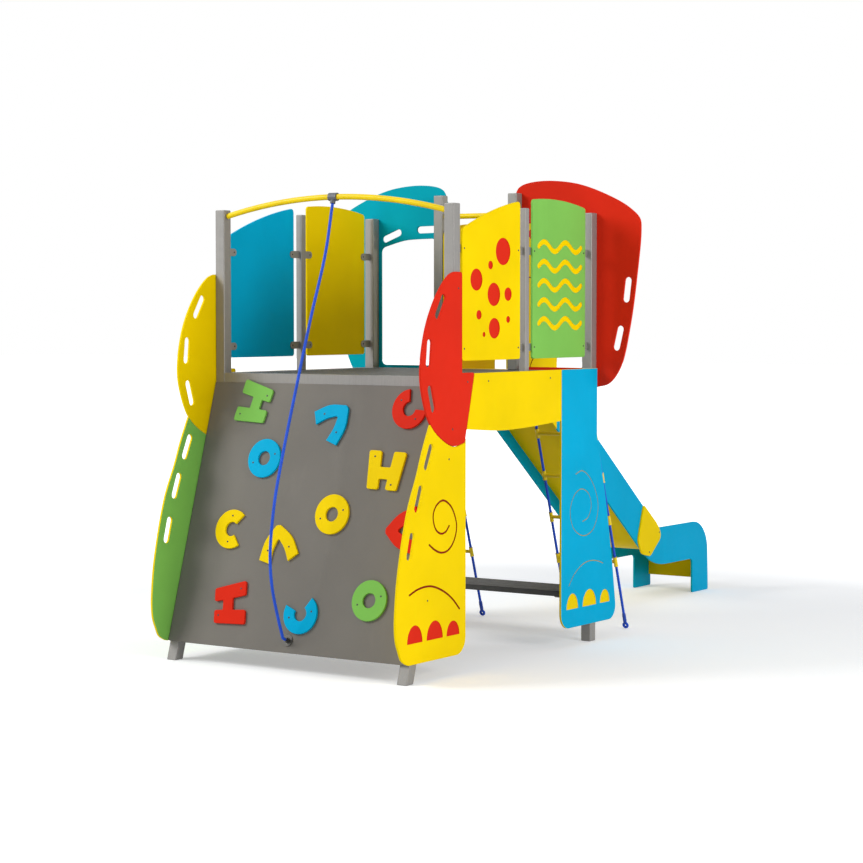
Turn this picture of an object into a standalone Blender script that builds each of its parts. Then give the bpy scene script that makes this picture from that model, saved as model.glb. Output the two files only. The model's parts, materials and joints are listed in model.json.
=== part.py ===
"""An elephant-shaped play structure, in metres with +Z up.

A deck on four posts carries a sloping climbing wall at the front (-Y), a slide at the rear (+Y)
that reads as the trunk, two rope ladders under the rear doorways, and flat boards cut as ears,
hips, legs and belly. Front means the climbing wall's end. All heights start at the ground. In
the outlines, Y is 0 on the line of the front posts. The root empty moves everything to the
middle of the outer box.
"""

import math

import bmesh
import bpy
from mathutils import Matrix, Vector

# Clearances
GAP = 0.0003  # between pieces that rest on each other
SEAM = 0.003  # between neighbouring boards in one plane

# Deck and posts
DECK_HEIGHT = 1.50
POST_SPACING_X = 1.47
POST_SPACING_Y = 1.38
POST_SIZE = 0.06
POST_WALL = 0.003
POST_EDGE_RADIUS = 0.005
POST_ABOVE_DECK = 0.87
FOOT_PLATE = 0.006
VENT_RADIUS = 0.008
MID_POST_SIZE = 0.04
SLIDE_POST_SPACING = 0.50
SLIDE_POST_ABOVE_DECK = 0.9925
SLIDE_BAR_ABOVE_DECK = 0.872
BAR_RADIUS = 0.015

# Deck frame
BEAM_HEIGHT = 0.052
BEAM_WALL = 0.004
LEDGE_WIDTH = 0.030
LEDGE_THICKNESS = 0.004
CROSS_MEMBER_HEIGHT = 0.040
CROSS_MEMBER_THICKNESS = 0.006
DECK_PLATE = 0.012
WELD = 0.002  # how far welded pieces reach into each other

# Boards
BOARD = 0.012
EAR_BOARD = 0.012
BOARD_ABOVE_DECK = 0.016
GROUND_CLEARANCE = 0.10
SLOT_LENGTH = 0.14
SLOT_WIDTH = 0.04
BARRIER_ABOVE_DECK = 0.079
BARRIER_POST_GAP = 0.042
BARRIER_TOP = 0.927
BARRIER_TOP_RADIUS = 2.0
TAB_THICKNESS = 0.005
TAB_RADIUS = 0.020
TAB_REACH = 0.019
TAB_HEIGHTS = (0.14, 0.647)

# Climbing wall and its grips
WALL_LEAN = 0.30  # forward run for each metre of drop
WALL_THICKNESS = 0.018
WALL_HALF_WIDTH_SPARE = 0.003
GRIP_THICKNESS = 0.013
GRIP_RADIUS = 0.104
GRIP_BORE = 0.038
GRIP_LAYOUT_HALF_WIDTH = 0.735  # the half width and slope length that the layout is drawn for
GRIP_LAYOUT_LENGTH = 1.405
GRIP_TOP_MARGIN = 0.111  # the top row's distance from the wall's top edge
GRIP_FOOT_MARGIN = 0.203

# Front rail and climbing rope
RAIL_RISE = 0.084
RAIL_ABOVE_DECK = 0.837
ROPE_RADIUS = 0.008
ROPE_STEP = 0.045
CLAMP_LENGTH = 0.050
CLAMP_WALL = 0.006
CLAMP_CLEARANCE = 0.0005
EYE_RADIUS = 0.030
EYE_PLATE = 0.005
EYE_STUB = 0.022
EYE_STUB_RADIUS = 0.014

# Slide
SLIDE_SLOPE = 0.775  # drop for each metre of run
SLIDE_START_LENGTH = 0.1675
SLIDE_BED = 0.012
RUNOUT_HEIGHT = 0.325
RUNOUT_LENGTH = 0.766
SIDE_ABOVE_BED = 0.189
SIDE_BELOW_BED = 0.106
RUNOUT_SIDE_ABOVE = 0.137
RUNOUT_SIDE_BELOW = 0.103
SLIDE_NOSE_RADIUS = 0.20
SLIDE_FOOT_LENGTH = 0.225
SLIDE_SEAM_AFTER_POST = 0.523
SPLICE_THICKNESS = 0.012

# Ears
EAR_OVERHANG = 0.303  # beyond the centre line of the posts
DOOR_POST_GAP = 0.015  # between a post's face and the doorway
EAR_DROP = 0.09  # below the deck

# Seat
SEAT_HEIGHT = 0.30
SEAT_THICKNESS = 0.030
SEAT_DEPTH = 0.29
SEAT_BRACKET = 0.006
SEAT_BRACKET_WIDTH = 0.040

# Ladders
LADDER_LEAN = 0.322  # rearward run for each metre of drop
TOP_RUNG_DROP = 0.269  # from the hangers down to the top rung
RUNG_COUNT = 4
LOWEST_RUNG = 0.40
RUNG_RADIUS = 0.015
SLEEVE_RADIUS = 0.0155
SLEEVE_LENGTH = 0.056
SLEEVE_CLEARANCE = 0.0004
HANGER_WIDTH = 0.040
HANGER_THICKNESS = 0.006
HANGER_REACH = 0.075
EYE_LOOP_RADIUS = 0.022
FERRULE_RADIUS = 0.013
FERRULE_LENGTH = 0.040

# Colours, as display values
YELLOW = (0.976, 0.839, 0.0)
RED = (0.871, 0.173, 0.094)
BLUE = (0.0, 0.635, 0.84)
TEAL = (0.0, 0.627, 0.765)
GREEN = (0.502, 0.761, 0.345)
BOARD_GREY = (0.486, 0.467, 0.439)
POST_GREY = (0.60, 0.60, 0.61)
DARK_GREY = (0.27, 0.27, 0.26)
ROPE_BLUE = (0.04, 0.255, 0.725)

# Places that follow from the sizes above
POST_X = POST_SPACING_X / 2
HALF_POST = POST_SIZE / 2
REAR_Y = POST_SPACING_Y
POST_TOP = DECK_HEIGHT + POST_ABOVE_DECK
POST_OUTER_X = POST_X + HALF_POST
POST_INNER_X = POST_X - HALF_POST
MID_POST_Y = POST_SPACING_Y / 2
BEAM_UNDERSIDE = DECK_HEIGHT - BEAM_HEIGHT
LEDGE_TOP = DECK_HEIGHT - DECK_PLATE - GAP
BOARD_INNER_X = POST_OUTER_X + GAP
EAR_PLANE_Y = REAR_Y + HALF_POST + GAP
SLIDE_POST_X = SLIDE_POST_SPACING / 2
SIDE_OUTER_X = SLIDE_POST_X - HALF_POST - GAP
SLIDE_HALF_WIDTH = SIDE_OUTER_X - BOARD
EAR_INNER_X = SIDE_OUTER_X + 0.0053
DOOR_INNER_X = SLIDE_POST_X + HALF_POST + DOOR_POST_GAP
DOOR_OUTER_X = POST_INNER_X - DOOR_POST_GAP
SLIDE_START_Y = REAR_Y + HALF_POST + GAP
SLIDE_BREAK_Y = SLIDE_START_Y + SLIDE_START_LENGTH
SLIDE_FLAT_Y = SLIDE_BREAK_Y + (DECK_HEIGHT - RUNOUT_HEIGHT) / SLIDE_SLOPE
SLIDE_END_Y = SLIDE_FLAT_Y + RUNOUT_LENGTH
SLIDE_SEAM_Y = REAR_Y + SLIDE_SEAM_AFTER_POST
WALL_TOP = BEAM_UNDERSIDE - GAP
LADDER_LINES = (DOOR_INNER_X + 0.005, DOOR_OUTER_X - 0.010)
HANGER_TOP = DECK_HEIGHT - EAR_DROP - 0.006
LADDER_PITCH = (HANGER_TOP - TOP_RUNG_DROP - LOWEST_RUNG) / (RUNG_COUNT - 1)
RUNG_HEIGHTS = [LOWEST_RUNG + LADDER_PITCH * n for n in range(RUNG_COUNT)]
REAR_LEG_FRONT = REAR_Y - 0.369


def wall_y(z):
    """The climbing wall's front face at this height."""
    return -HALF_POST - 0.005 - WALL_LEAN * (BEAM_UNDERSIDE - z)


def ladder_y(z):
    """The ladder ropes' line at this height."""
    return EAR_PLANE_Y + EAR_BOARD + 0.026 + LADDER_LEAN * (BEAM_UNDERSIDE - z)


def bed_z(y):
    """The slide's surface at this distance, before its bends are rounded."""
    return min(DECK_HEIGHT, max(RUNOUT_HEIGHT, DECK_HEIGHT - SLIDE_SLOPE * (y - SLIDE_BREAK_Y)))


def above(rise):
    return DECK_HEIGHT + rise


# Outlines

def arc_steps(radius, angle):
    return max(2, round(angle / math.radians(30 if radius < 0.03 else 15)))


def rounded(corners):
    """A closed polygon of (x, y, radius) corners as points, each corner an arc."""
    points = []
    count = len(corners)
    for i, (x, y, radius) in enumerate(corners):
        here = Vector((x, y))
        if not radius:
            points.append((x, y))
            continue
        back = (Vector(corners[i - 1][:2]) - here).normalized()
        ahead = (Vector(corners[(i + 1) % count][:2]) - here).normalized()
        half = back.angle(ahead) / 2
        centre = here + (back + ahead).normalized() * radius / math.sin(half)
        start = here + back * radius / math.tan(half) - centre
        end = here + ahead * radius / math.tan(half) - centre
        turn = math.atan2(start.cross(end), start.dot(end))
        steps = arc_steps(radius, abs(turn))
        for n in range(steps + 1):
            c, s = math.cos(turn * n / steps), math.sin(turn * n / steps)
            points.append((centre.x + start.x * c - start.y * s, centre.y + start.x * s + start.y * c))
    return points


def smooth(points, steps=4):
    """Points on a centripetal Catmull-Rom curve through the given ones."""
    knots = [Vector(p) for p in points]
    knots = [2 * knots[0] - knots[1], *knots, 2 * knots[-1] - knots[-2]]
    found = []
    for a, b, c, d in zip(knots, knots[1:], knots[2:], knots[3:]):
        t = [0.0]
        for p, q in ((a, b), (b, c), (c, d)):
            t.append(t[-1] + math.sqrt((q - p).length))
        for n in range(steps):
            u = t[1] + (t[2] - t[1]) * n / steps
            a1 = a.lerp(b, (u - t[0]) / (t[1] - t[0]))
            a2 = b.lerp(c, (u - t[1]) / (t[2] - t[1]))
            a3 = c.lerp(d, (u - t[2]) / (t[3] - t[2]))
            b1 = a1.lerp(a2, (u - t[0]) / (t[2] - t[0]))
            b2 = a2.lerp(a3, (u - t[1]) / (t[3] - t[1]))
            found.append(tuple(b1.lerp(b2, (u - t[1]) / (t[2] - t[1]))))
    found.append(tuple(knots[-2]))
    return found


def circle(x, y, radius, steps):
    return [
        (x + radius * math.cos(math.tau * n / steps), y + radius * math.sin(math.tau * n / steps))
        for n in range(steps)
    ]


def slot(x, y, lean, length=SLOT_LENGTH, width=SLOT_WIDTH):
    """A round-ended slot whose axis leans this many degrees from upright, towards +x."""
    steps = 6
    radius = width / 2
    reach = length / 2 - radius
    turn = math.radians(lean)
    points = []
    for end in (0, 1):
        for n in range(steps + 1):
            angle = math.pi * (end + n / steps)
            px = radius * math.cos(angle)
            py = radius * math.sin(angle) + (reach if end == 0 else -reach)
            points.append((
                x + px * math.cos(turn) + py * math.sin(turn),
                y - px * math.sin(turn) + py * math.cos(turn),
            ))
    return points


def grown(points, distance):
    """The closed outline moved outwards by this distance, with mitred corners."""
    count = len(points)
    area = sum(points[i - 1][0] * points[i][1] - points[i][0] * points[i - 1][1] for i in range(count))
    side = 1 if area > 0 else -1
    moved = []
    for i in range(count):
        here = Vector(points[i])
        into = (here - Vector(points[i - 1])).normalized()
        out = (Vector(points[(i + 1) % count]) - here).normalized()
        normal = Vector((into.y + out.y, -into.x - out.x)).normalized() * side
        cosine = normal.dot(Vector((into.y, -into.x)) * side)
        moved.append(tuple(here + normal * distance / cosine))
    return moved


def strip(path, thickness):
    """A band of this thickness under an open path that runs towards +x."""
    under = []
    for i, point in enumerate(path):
        into = Vector(path[i]) - Vector(path[i - 1]) if i else Vector(path[1]) - Vector(path[0])
        out = Vector(path[i + 1]) - Vector(path[i]) if i + 1 < len(path) else into
        normal = (into.normalized() + out.normalized()).normalized()
        normal = Vector((normal.y, -normal.x))
        cosine = normal.dot(Vector((into.y, -into.x)).normalized())
        under.append(tuple(Vector(point) + normal * thickness / cosine))
    return path + under[::-1]


# Scene tools

def clear_scene():
    for obj in list(bpy.data.objects):
        bpy.data.objects.remove(obj)


def new_collection(name):
    collection = bpy.data.collections.new(name)
    bpy.context.scene.collection.children.link(collection)
    return collection


def linear(colour):
    return [c / 12.92 if c <= 0.04045 else ((c + 0.055) / 1.055) ** 2.4 for c in colour]


def material(name, colour, roughness, metallic=0.0):
    found = bpy.data.materials.get(name)
    if found:
        return found
    made = bpy.data.materials.new(name)
    made.use_nodes = True
    shader = made.node_tree.nodes["Principled BSDF"]
    shader.inputs["Base Color"].default_value = (*linear(colour), 1.0)
    shader.inputs["Roughness"].default_value = roughness
    shader.inputs["Metallic"].default_value = metallic
    return made


def plastic_board(name, colour):
    return material(name, colour, 0.45)


def frame_along(x_axis, y_axis, origin):
    """The matrix of a drawing plane: local x and y lie along these, and local z is square to it."""
    x = Vector(x_axis).normalized()
    y = Vector(y_axis).normalized()
    turned = Matrix((x, y, x.cross(y))).transposed().to_4x4()
    turned.translation = origin
    return turned


def side_plane(x):
    """Drawn in (Y, Z), with thickness along X."""
    return frame_along((0, 1, 0), (0, 0, 1), (x, 0, 0))


def cross_plane(y):
    """Drawn in (X, Z), with thickness along Y."""
    return frame_along((1, 0, 0), (0, 0, 1), (0, y, 0))


def wall_plane(out):
    """Drawn on the climbing wall: local x is X, local y runs up its slope from the top edge."""
    up = Vector((0, WALL_LEAN, 1)).normalized()
    normal = Vector((1, 0, 0)).cross(up)
    top = Vector((0, wall_y(WALL_TOP), WALL_TOP))
    return frame_along((1, 0, 0), up, top + normal * out)


class Builder:
    """Holds the collections and the root empty that every piece hangs from."""

    def __init__(self, name, shift):
        self.parts = new_collection(name)
        self.helpers = new_collection("cutters")
        self.root = bpy.data.objects.new("root", None)
        self.root.location = shift
        self.parts.objects.link(self.root)

    def add(self, name, data, matrix, paint):
        obj = bpy.data.objects.new(name, data)
        if paint:
            data.materials.clear()
            data.materials.append(paint)
            self.parts.objects.link(obj)
        else:
            obj.hide_render = True
            obj.display_type = "WIRE"
            self.helpers.objects.link(obj)
        obj.parent = self.root
        obj.matrix_local = matrix
        return obj

    def from_curve(self, name, curve, matrix, paint):
        """The curve's solid as a mesh object, with its caps welded on."""
        drawn = bpy.data.objects.new(name, curve)
        self.parts.objects.link(drawn)
        drawn.matrix_world = matrix
        graph = bpy.context.evaluated_depsgraph_get()
        mesh = bpy.data.meshes.new_from_object(drawn.evaluated_get(graph))
        bpy.data.objects.remove(drawn)
        bpy.data.curves.remove(curve)
        shape = bmesh.new()
        shape.from_mesh(mesh)
        bmesh.ops.remove_doubles(shape, verts=shape.verts, dist=0.00001)
        bmesh.ops.recalc_face_normals(shape, faces=shape.faces)
        shape.to_mesh(mesh)
        shape.free()
        mesh.name = name
        return self.add(name, mesh, matrix, paint)

    def board(self, name, outlines, thickness, matrix, paint=None):
        """A flat piece: the first outline is its edge and the others are holes."""
        curve = bpy.data.curves.new(name, "CURVE")
        curve.dimensions = "2D"
        curve.fill_mode = "BOTH"
        curve.extrude = thickness / 2
        for points in outlines:
            spline = curve.splines.new("POLY")
            spline.points.add(len(points) - 1)
            for point, (x, y) in zip(spline.points, points):
                point.co = (x, y, 0, 1)
            spline.use_cyclic_u = True
        return self.from_curve(name, curve, matrix, paint)

    def tube(self, name, points, radius, paint=None, resolution=2):
        """A round bar or rope through these points."""
        curve = bpy.data.curves.new(name, "CURVE")
        curve.dimensions = "3D"
        curve.bevel_depth = radius
        curve.bevel_resolution = resolution
        curve.use_fill_caps = True
        spline = curve.splines.new("POLY")
        spline.points.add(len(points) - 1)
        for point, place in zip(spline.points, points):
            point.co = (*place, 1)
        made = self.from_curve(name, curve, Matrix.Identity(4), paint)
        shade_round(made)
        return made

    def box(self, name, low, high, paint=None):
        mesh = bpy.data.meshes.new(name)
        shape = bmesh.new()
        size = [b - a for a, b in zip(low, high)]
        bmesh.ops.create_cube(shape, size=1.0, matrix=Matrix.Diagonal((*size, 1)))
        shape.to_mesh(mesh)
        shape.free()
        middle = [(a + b) / 2 for a, b in zip(low, high)]
        return self.add(name, mesh, Matrix.Translation(middle), paint)

    def cylinder(self, name, start, end, radius, paint=None, sides=16):
        start, end = Vector(start), Vector(end)
        mesh = bpy.data.meshes.new(name)
        shape = bmesh.new()
        bmesh.ops.create_cone(
            shape, cap_ends=True, segments=sides, radius1=radius, radius2=radius,
            depth=(end - start).length,
        )
        shape.to_mesh(mesh)
        shape.free()
        turn = (end - start).to_track_quat("Z", "Y").to_matrix().to_4x4()
        made = self.add(name, mesh, Matrix.Translation((start + end) / 2) @ turn, paint)
        shade_round(made)
        return made

    def ring(self, name, centre, x_axis, y_axis, major, minor, paint=None):
        """A closed loop of round bar in the plane of the two axes."""
        curve = bpy.data.curves.new(name, "CURVE")
        curve.dimensions = "3D"
        curve.bevel_depth = minor
        curve.bevel_resolution = 2
        spline = curve.splines.new("POLY")
        places = circle(0, 0, major, 16)
        spline.points.add(len(places) - 1)
        for point, (x, y) in zip(spline.points, places):
            point.co = (x, y, 0, 1)
        spline.use_cyclic_u = True
        return self.from_curve(name, curve, frame_along(x_axis, y_axis, centre), paint)


def shade_round(obj):
    obj.data.shade_smooth()
    obj.data.set_sharp_from_angle(angle=math.radians(40))


def boolean(target, other, operation):
    modifier = target.modifiers.new(other.name, "BOOLEAN")
    modifier.operation = operation
    modifier.object = other


def cut(target, *cutters):
    for cutter in cutters:
        boolean(target, cutter, "DIFFERENCE")


def fuse(target, *others):
    for other in others:
        boolean(target, other, "UNION")


def round_edges(target, width, segments=2):
    modifier = target.modifiers.new("edges", "BEVEL")
    modifier.width = width
    modifier.segments = segments
    modifier.limit_method = "ANGLE"


def sides():
    """The name ending and the sign of X of each side."""
    return (("right", 1), ("left", -1))


# Steel frame

def front_post_outline(inset=0.0):
    """Upright above the deck, then forward and down, parallel to the climbing wall behind it."""
    stretch = math.hypot(1, WALL_LEAN)
    face = -HALF_POST - 0.005 + (WALL_THICKNESS + GAP + inset) * stretch
    back = face + (POST_SIZE - 2 * inset) * stretch
    upper_face, upper_back = -HALF_POST + inset, HALF_POST - inset
    knee_face = BEAM_UNDERSIDE - (face - upper_face) / WALL_LEAN
    knee_back = BEAM_UNDERSIDE - (back - upper_back) / WALL_LEAN
    floor = FOOT_PLATE if inset else 0.0
    top = POST_TOP - (FOOT_PLATE if inset else 0.0)
    drop = WALL_LEAN * (BEAM_UNDERSIDE - floor)
    return [
        (upper_face, top),
        (upper_back, top),
        (upper_back, knee_back),
        (back - drop, floor),
        (face - drop, floor),
        (upper_face, knee_face),
    ]


def rear_post_outline(inset=0.0):
    ends = FOOT_PLATE if inset else 0.0
    low, high = REAR_Y - HALF_POST + inset, REAR_Y + HALF_POST - inset
    return [(low, ends), (high, ends), (high, POST_TOP - ends), (low, POST_TOP - ends)]


def tabs(build, name, sign, post_face, direction):
    """Two lugs on a post's face that a barrier board is bolted to."""
    made = []
    reach = BARRIER_POST_GAP + TAB_REACH
    for n, rise in enumerate(TAB_HEIGHTS):
        z = above(rise)
        root = post_face - direction * WELD
        tip = post_face + direction * reach
        turn = -math.pi / 2 if direction > 0 else math.pi / 2
        end = [
            (tip + TAB_RADIUS * math.cos(turn + math.pi * k / 6),
             z + TAB_RADIUS * math.sin(turn + math.pi * k / 6))
            for k in range(7)
        ]
        last = TAB_RADIUS if direction > 0 else -TAB_RADIUS
        outline = end + [(root, z + last), (root, z - last)]
        made.append(build.board(f"{name}_tab_{n}", [outline], TAB_THICKNESS, side_plane(sign * POST_X)))
    return made


def hollow_post(build, name, sign, outline, foot):
    """A square tube with closed ends and a vent hole in its foot plate."""
    steel = material("galvanised_steel", POST_GREY, 0.42, 0.55)
    place = side_plane(sign * POST_X)
    post = build.board(name, [outline()], POST_SIZE, place, steel)
    round_edges(post, POST_EDGE_RADIUS)
    bore = build.board(f"{name}_bore", [outline(POST_WALL)], POST_SIZE - 2 * POST_WALL, place)
    x = sign * POST_X
    vent = build.cylinder(
        f"{name}_vent", (x, foot, -FOOT_PLATE), (x, foot, 2 * FOOT_PLATE), VENT_RADIUS, sides=12
    )
    cut(post, bore, vent)
    return post


def front_posts(build):
    foot = wall_y(0) + (WALL_THICKNESS + HALF_POST) * math.hypot(1, WALL_LEAN)
    for name, sign in sides():
        post = hollow_post(build, f"post_front_{name}", sign, front_post_outline, foot)
        fuse(post, *tabs(build, post.name, sign, HALF_POST, 1))


def rear_posts(build):
    for name, sign in sides():
        post = hollow_post(build, f"post_rear_{name}", sign, rear_post_outline, REAR_Y)
        fuse(post, *tabs(build, post.name, sign, REAR_Y - HALF_POST, -1))
        fuse(post, *seat_brackets(build, post.name, sign))


def seat_brackets(build, name, sign):
    """A shelf and a gusset on the post's inner face, under the seat board's end."""
    top = SEAT_HEIGHT - SEAT_THICKNESS - GAP
    inner = sign * (POST_INNER_X - SEAT_BRACKET_WIDTH)
    outer = sign * (POST_INNER_X + WELD)
    web = sign * (POST_INNER_X - SEAT_BRACKET)
    front = REAR_Y + HALF_POST - SEAT_DEPTH + 0.01
    rear = REAR_Y + HALF_POST - WELD
    shelf = build.box(
        f"{name}_shelf", (min(inner, outer), front, top - SEAT_BRACKET), (max(inner, outer), rear, top)
    )
    profile = [
        (rear - 0.19, top - WELD),
        (rear - 0.19, top - 0.012),
        (rear - 0.04, top - 0.07),
        (rear, top - 0.07),
        (rear, top - WELD),
    ]
    gusset = build.board(
        f"{name}_gusset", [profile], abs(outer - web), side_plane((outer + web) / 2)
    )
    return shelf, gusset


def mid_posts(build):
    steel = material("galvanised_steel", POST_GREY, 0.42, 0.55)
    half = MID_POST_SIZE / 2
    wall = POST_WALL
    foot = DECK_HEIGHT + GAP
    for name, sign in sides():
        x = sign * POST_X
        post = build.box(
            f"post_mid_{name}",
            (x - half, MID_POST_Y - half, foot),
            (x + half, MID_POST_Y + half, POST_TOP),
            steel,
        )
        round_edges(post, 0.004)
        bore = build.box(
            f"{post.name}_bore",
            (x - half + wall, MID_POST_Y - half + wall, foot + FOOT_PLATE),
            (x + half - wall, MID_POST_Y + half - wall, POST_TOP - FOOT_PLATE),
        )
        vent = build.cylinder(
            f"{post.name}_vent", (x, MID_POST_Y, foot - FOOT_PLATE),
            (x, MID_POST_Y, foot + 2 * FOOT_PLATE), VENT_RADIUS, sides=12,
        )
        cut(post, bore, vent)
        fuse(post, *tabs(build, f"{post.name}_front", sign, MID_POST_Y - half, -1))
        fuse(post, *tabs(build, f"{post.name}_rear", sign, MID_POST_Y + half, 1))


def slide_portal(build):
    """Two square posts on the rear beam, with the round bar between them that starts the slide."""
    steel = material("galvanised_steel", POST_GREY, 0.42, 0.55)
    foot = DECK_HEIGHT + GAP
    top = above(SLIDE_POST_ABOVE_DECK)
    posts = []
    for name, sign in sides():
        x = sign * SLIDE_POST_X
        post = build.box(
            "slide_portal" if sign > 0 else "slide_portal_left_post",
            (x - HALF_POST, REAR_Y - HALF_POST, foot),
            (x + HALF_POST, REAR_Y + HALF_POST, top),
            steel if sign > 0 else None,
        )
        round_edges(post, POST_EDGE_RADIUS)
        inset = HALF_POST - POST_WALL
        bore = build.box(
            f"slide_portal_bore_{name}",
            (x - inset, REAR_Y - inset, foot + FOOT_PLATE),
            (x + inset, REAR_Y + inset, top - FOOT_PLATE),
        )
        vent = build.cylinder(
            f"slide_portal_vent_{name}", (x, REAR_Y, foot - FOOT_PLATE),
            (x, REAR_Y, foot + 2 * FOOT_PLATE), VENT_RADIUS, sides=12,
        )
        cut(post, bore, vent)
        posts.append(post)
    reach = SLIDE_POST_X - HALF_POST + WELD
    z = above(SLIDE_BAR_ABOVE_DECK)
    bar = build.cylinder("slide_portal_bar", (-reach, REAR_Y, z), (reach, REAR_Y, z), BAR_RADIUS)
    fuse(posts[0], bar, posts[1])


def channel(build, name, low, high, along, paint=None):
    """An inverted U of steel between two corners of its box, running along axis 0 or 1."""
    beam = build.box(name, low, high, paint)
    across = 1 - along
    inner_low, inner_high = list(low), list(high)
    inner_low[along] -= WELD
    inner_high[along] += WELD
    inner_low[across] += BEAM_WALL
    inner_high[across] -= BEAM_WALL
    inner_low[2] -= WELD
    inner_high[2] -= BEAM_WALL
    cut(beam, build.box(f"{name}_inside", inner_low, inner_high))
    return beam


def deck_frame(build):
    """Four edge channels, the ledge that carries the deck plate, two cross members and the
    hangers of the ladders, all welded."""
    steel = material("galvanised_steel", POST_GREY, 0.42, 0.55)
    inner = POST_INNER_X - GAP
    front, rear = HALF_POST + GAP, REAR_Y - HALF_POST - GAP
    low, high = BEAM_UNDERSIDE, DECK_HEIGHT
    frame = channel(
        build, "deck_frame", (-inner, -HALF_POST, low), (inner, HALF_POST, high), 0, steel
    )
    rear_beam = channel(
        build, "rear_beam", (-inner, REAR_Y - HALF_POST, low), (inner, REAR_Y + HALF_POST, high), 0
    )
    ledge_low = LEDGE_TOP - LEDGE_THICKNESS
    for name, y0, y1 in (
        ("front", HALF_POST - WELD, HALF_POST + LEDGE_WIDTH),
        ("rear", REAR_Y - HALF_POST - LEDGE_WIDTH, REAR_Y - HALF_POST + WELD),
    ):
        fuse(frame, build.box(f"ledge_{name}", (-inner, y0, ledge_low), (inner, y1, LEDGE_TOP)))
    for name, sign in sides():
        x0, x1 = sorted((sign * (POST_INNER_X - LEDGE_WIDTH), sign * (POST_INNER_X + WELD)))
        ledge = build.box(f"ledge_{name}", (x0, front, ledge_low), (x1, rear, LEDGE_TOP))
        x0, x1 = sorted((sign * POST_INNER_X, sign * POST_OUTER_X))
        beam = channel(build, f"side_beam_{name}", (x0, front, low), (x1, rear, high), 1)
        x = sign * (SLIDE_POST_X - 0.015)
        member = build.box(
            f"cross_member_{name}",
            (x - CROSS_MEMBER_THICKNESS / 2, HALF_POST - WELD, ledge_low - CROSS_MEMBER_HEIGHT + WELD),
            (x + CROSS_MEMBER_THICKNESS / 2, REAR_Y - HALF_POST + WELD, ledge_low + WELD),
        )
        fuse(frame, ledge, beam, member)
    fuse(frame, rear_beam)
    for name, sign in sides():
        for n, line in enumerate(LADDER_LINES):
            fuse(frame, *hanger(build, f"hanger_{name}_{n}", sign * line))


def hanger(build, name, x):
    """A steel angle under the rear beam that reaches back beneath the rear ear's lower edge."""
    half = HANGER_WIDTH / 2
    front = REAR_Y - HALF_POST
    rear = REAR_Y + HALF_POST + HANGER_REACH
    shelf = build.box(
        f"{name}_shelf", (x - half, front, HANGER_TOP - HANGER_THICKNESS), (x + half, rear, HANGER_TOP)
    )
    web = build.box(
        f"{name}_web",
        (x - half, REAR_Y - HALF_POST, HANGER_TOP - WELD),
        (x + half, REAR_Y - HALF_POST + BEAM_WALL, BEAM_UNDERSIDE + WELD),
    )
    return shelf, web


def deck_plate(build):
    edge = POST_INNER_X - GAP
    build.box(
        "deck_plate",
        (-edge, HALF_POST + GAP, DECK_HEIGHT - DECK_PLATE),
        (edge, REAR_Y - HALF_POST - GAP, DECK_HEIGHT),
        material("non_slip_board", DARK_GREY, 0.8),
    )


def seat_board(build):
    edge = POST_INNER_X - GAP
    rear = REAR_Y + HALF_POST
    board = build.box(
        "seat_board",
        (-edge, rear - SEAT_DEPTH, SEAT_HEIGHT - SEAT_THICKNESS),
        (edge, rear, SEAT_HEIGHT),
        material("non_slip_board", DARK_GREY, 0.8),
    )
    round_edges(board, 0.004)


# Climbing wall

def climbing_wall(build):
    half = POST_OUTER_X - WALL_HALF_WIDTH_SPARE
    length = (WALL_TOP - GROUND_CLEARANCE) * math.hypot(1, WALL_LEAN)
    outline = rounded([(-half, -length, 0.01), (half, -length, 0.01), (half, 0, 0), (-half, 0, 0)])
    wall = build.board(
        "climbing_wall", [outline], WALL_THICKNESS, wall_plane(-WALL_THICKNESS / 2),
        plastic_board("grey_board", BOARD_GREY),
    )
    for name, sign in sides():
        x0, x1 = sorted((sign * (POST_INNER_X - GAP), sign * (POST_OUTER_X + BOARD)))
        relief = build.box(
            f"climbing_wall_relief_{name}",
            (x0, -HALF_POST - GAP, BEAM_UNDERSIDE - 3 * POST_SIZE),
            (x1, HALF_POST, BEAM_UNDERSIDE + POST_SIZE),
        )
        cut(wall, relief)


def ring_grip():
    return [circle(0, 0, GRIP_RADIUS, 28), circle(0, 0, GRIP_BORE, 16)]


def horseshoe_grip():
    """A thick ring with a wedge left out towards local +x."""
    half_gap = math.radians(51)
    steps = 16
    angles = [half_gap + (math.tau - 2 * half_gap) * n / steps for n in range(steps + 1)]
    outer = [(GRIP_RADIUS * math.cos(a), GRIP_RADIUS * math.sin(a)) for a in angles]
    inner = [(GRIP_BORE * math.cos(a), GRIP_BORE * math.sin(a)) for a in reversed(angles)]
    return [outer + inner]


def chevron_grip():
    """Two curved legs from an apex at the local origin, hanging down."""
    right = smooth([(0.014, -0.004), (0.083, -0.075), (0.1225, -0.170)], 4)
    inside = smooth([(0.058, -0.2005), (0.037, -0.132), (0.006, -0.080)], 4)
    half = right + inside
    return [half + [(-x, y) for x, y in reversed(half)]]


def double_bar_grip():
    """Two upright bars that lean together downwards, with a bridge between them."""
    corners = [
        (0.115, 0.098, 0.012), (0.038, 0.098, 0.012), (0.031, 0.015, 0.006), (-0.031, 0.015, 0.006),
        (-0.038, 0.098, 0.012), (-0.115, 0.098, 0.012), (-0.091, -0.102, 0.012), (-0.022, -0.102, 0.012),
        (-0.026, -0.047, 0.006), (0.026, -0.047, 0.006), (0.022, -0.102, 0.012), (0.091, -0.102, 0.012),
    ]
    return [rounded(corners)]


def turned(outlines, degrees, x, y):
    c, s = math.cos(math.radians(degrees)), math.sin(math.radians(degrees))
    return [[(x + px * c - py * s, y + px * s + py * c) for px, py in points] for points in outlines]


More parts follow.
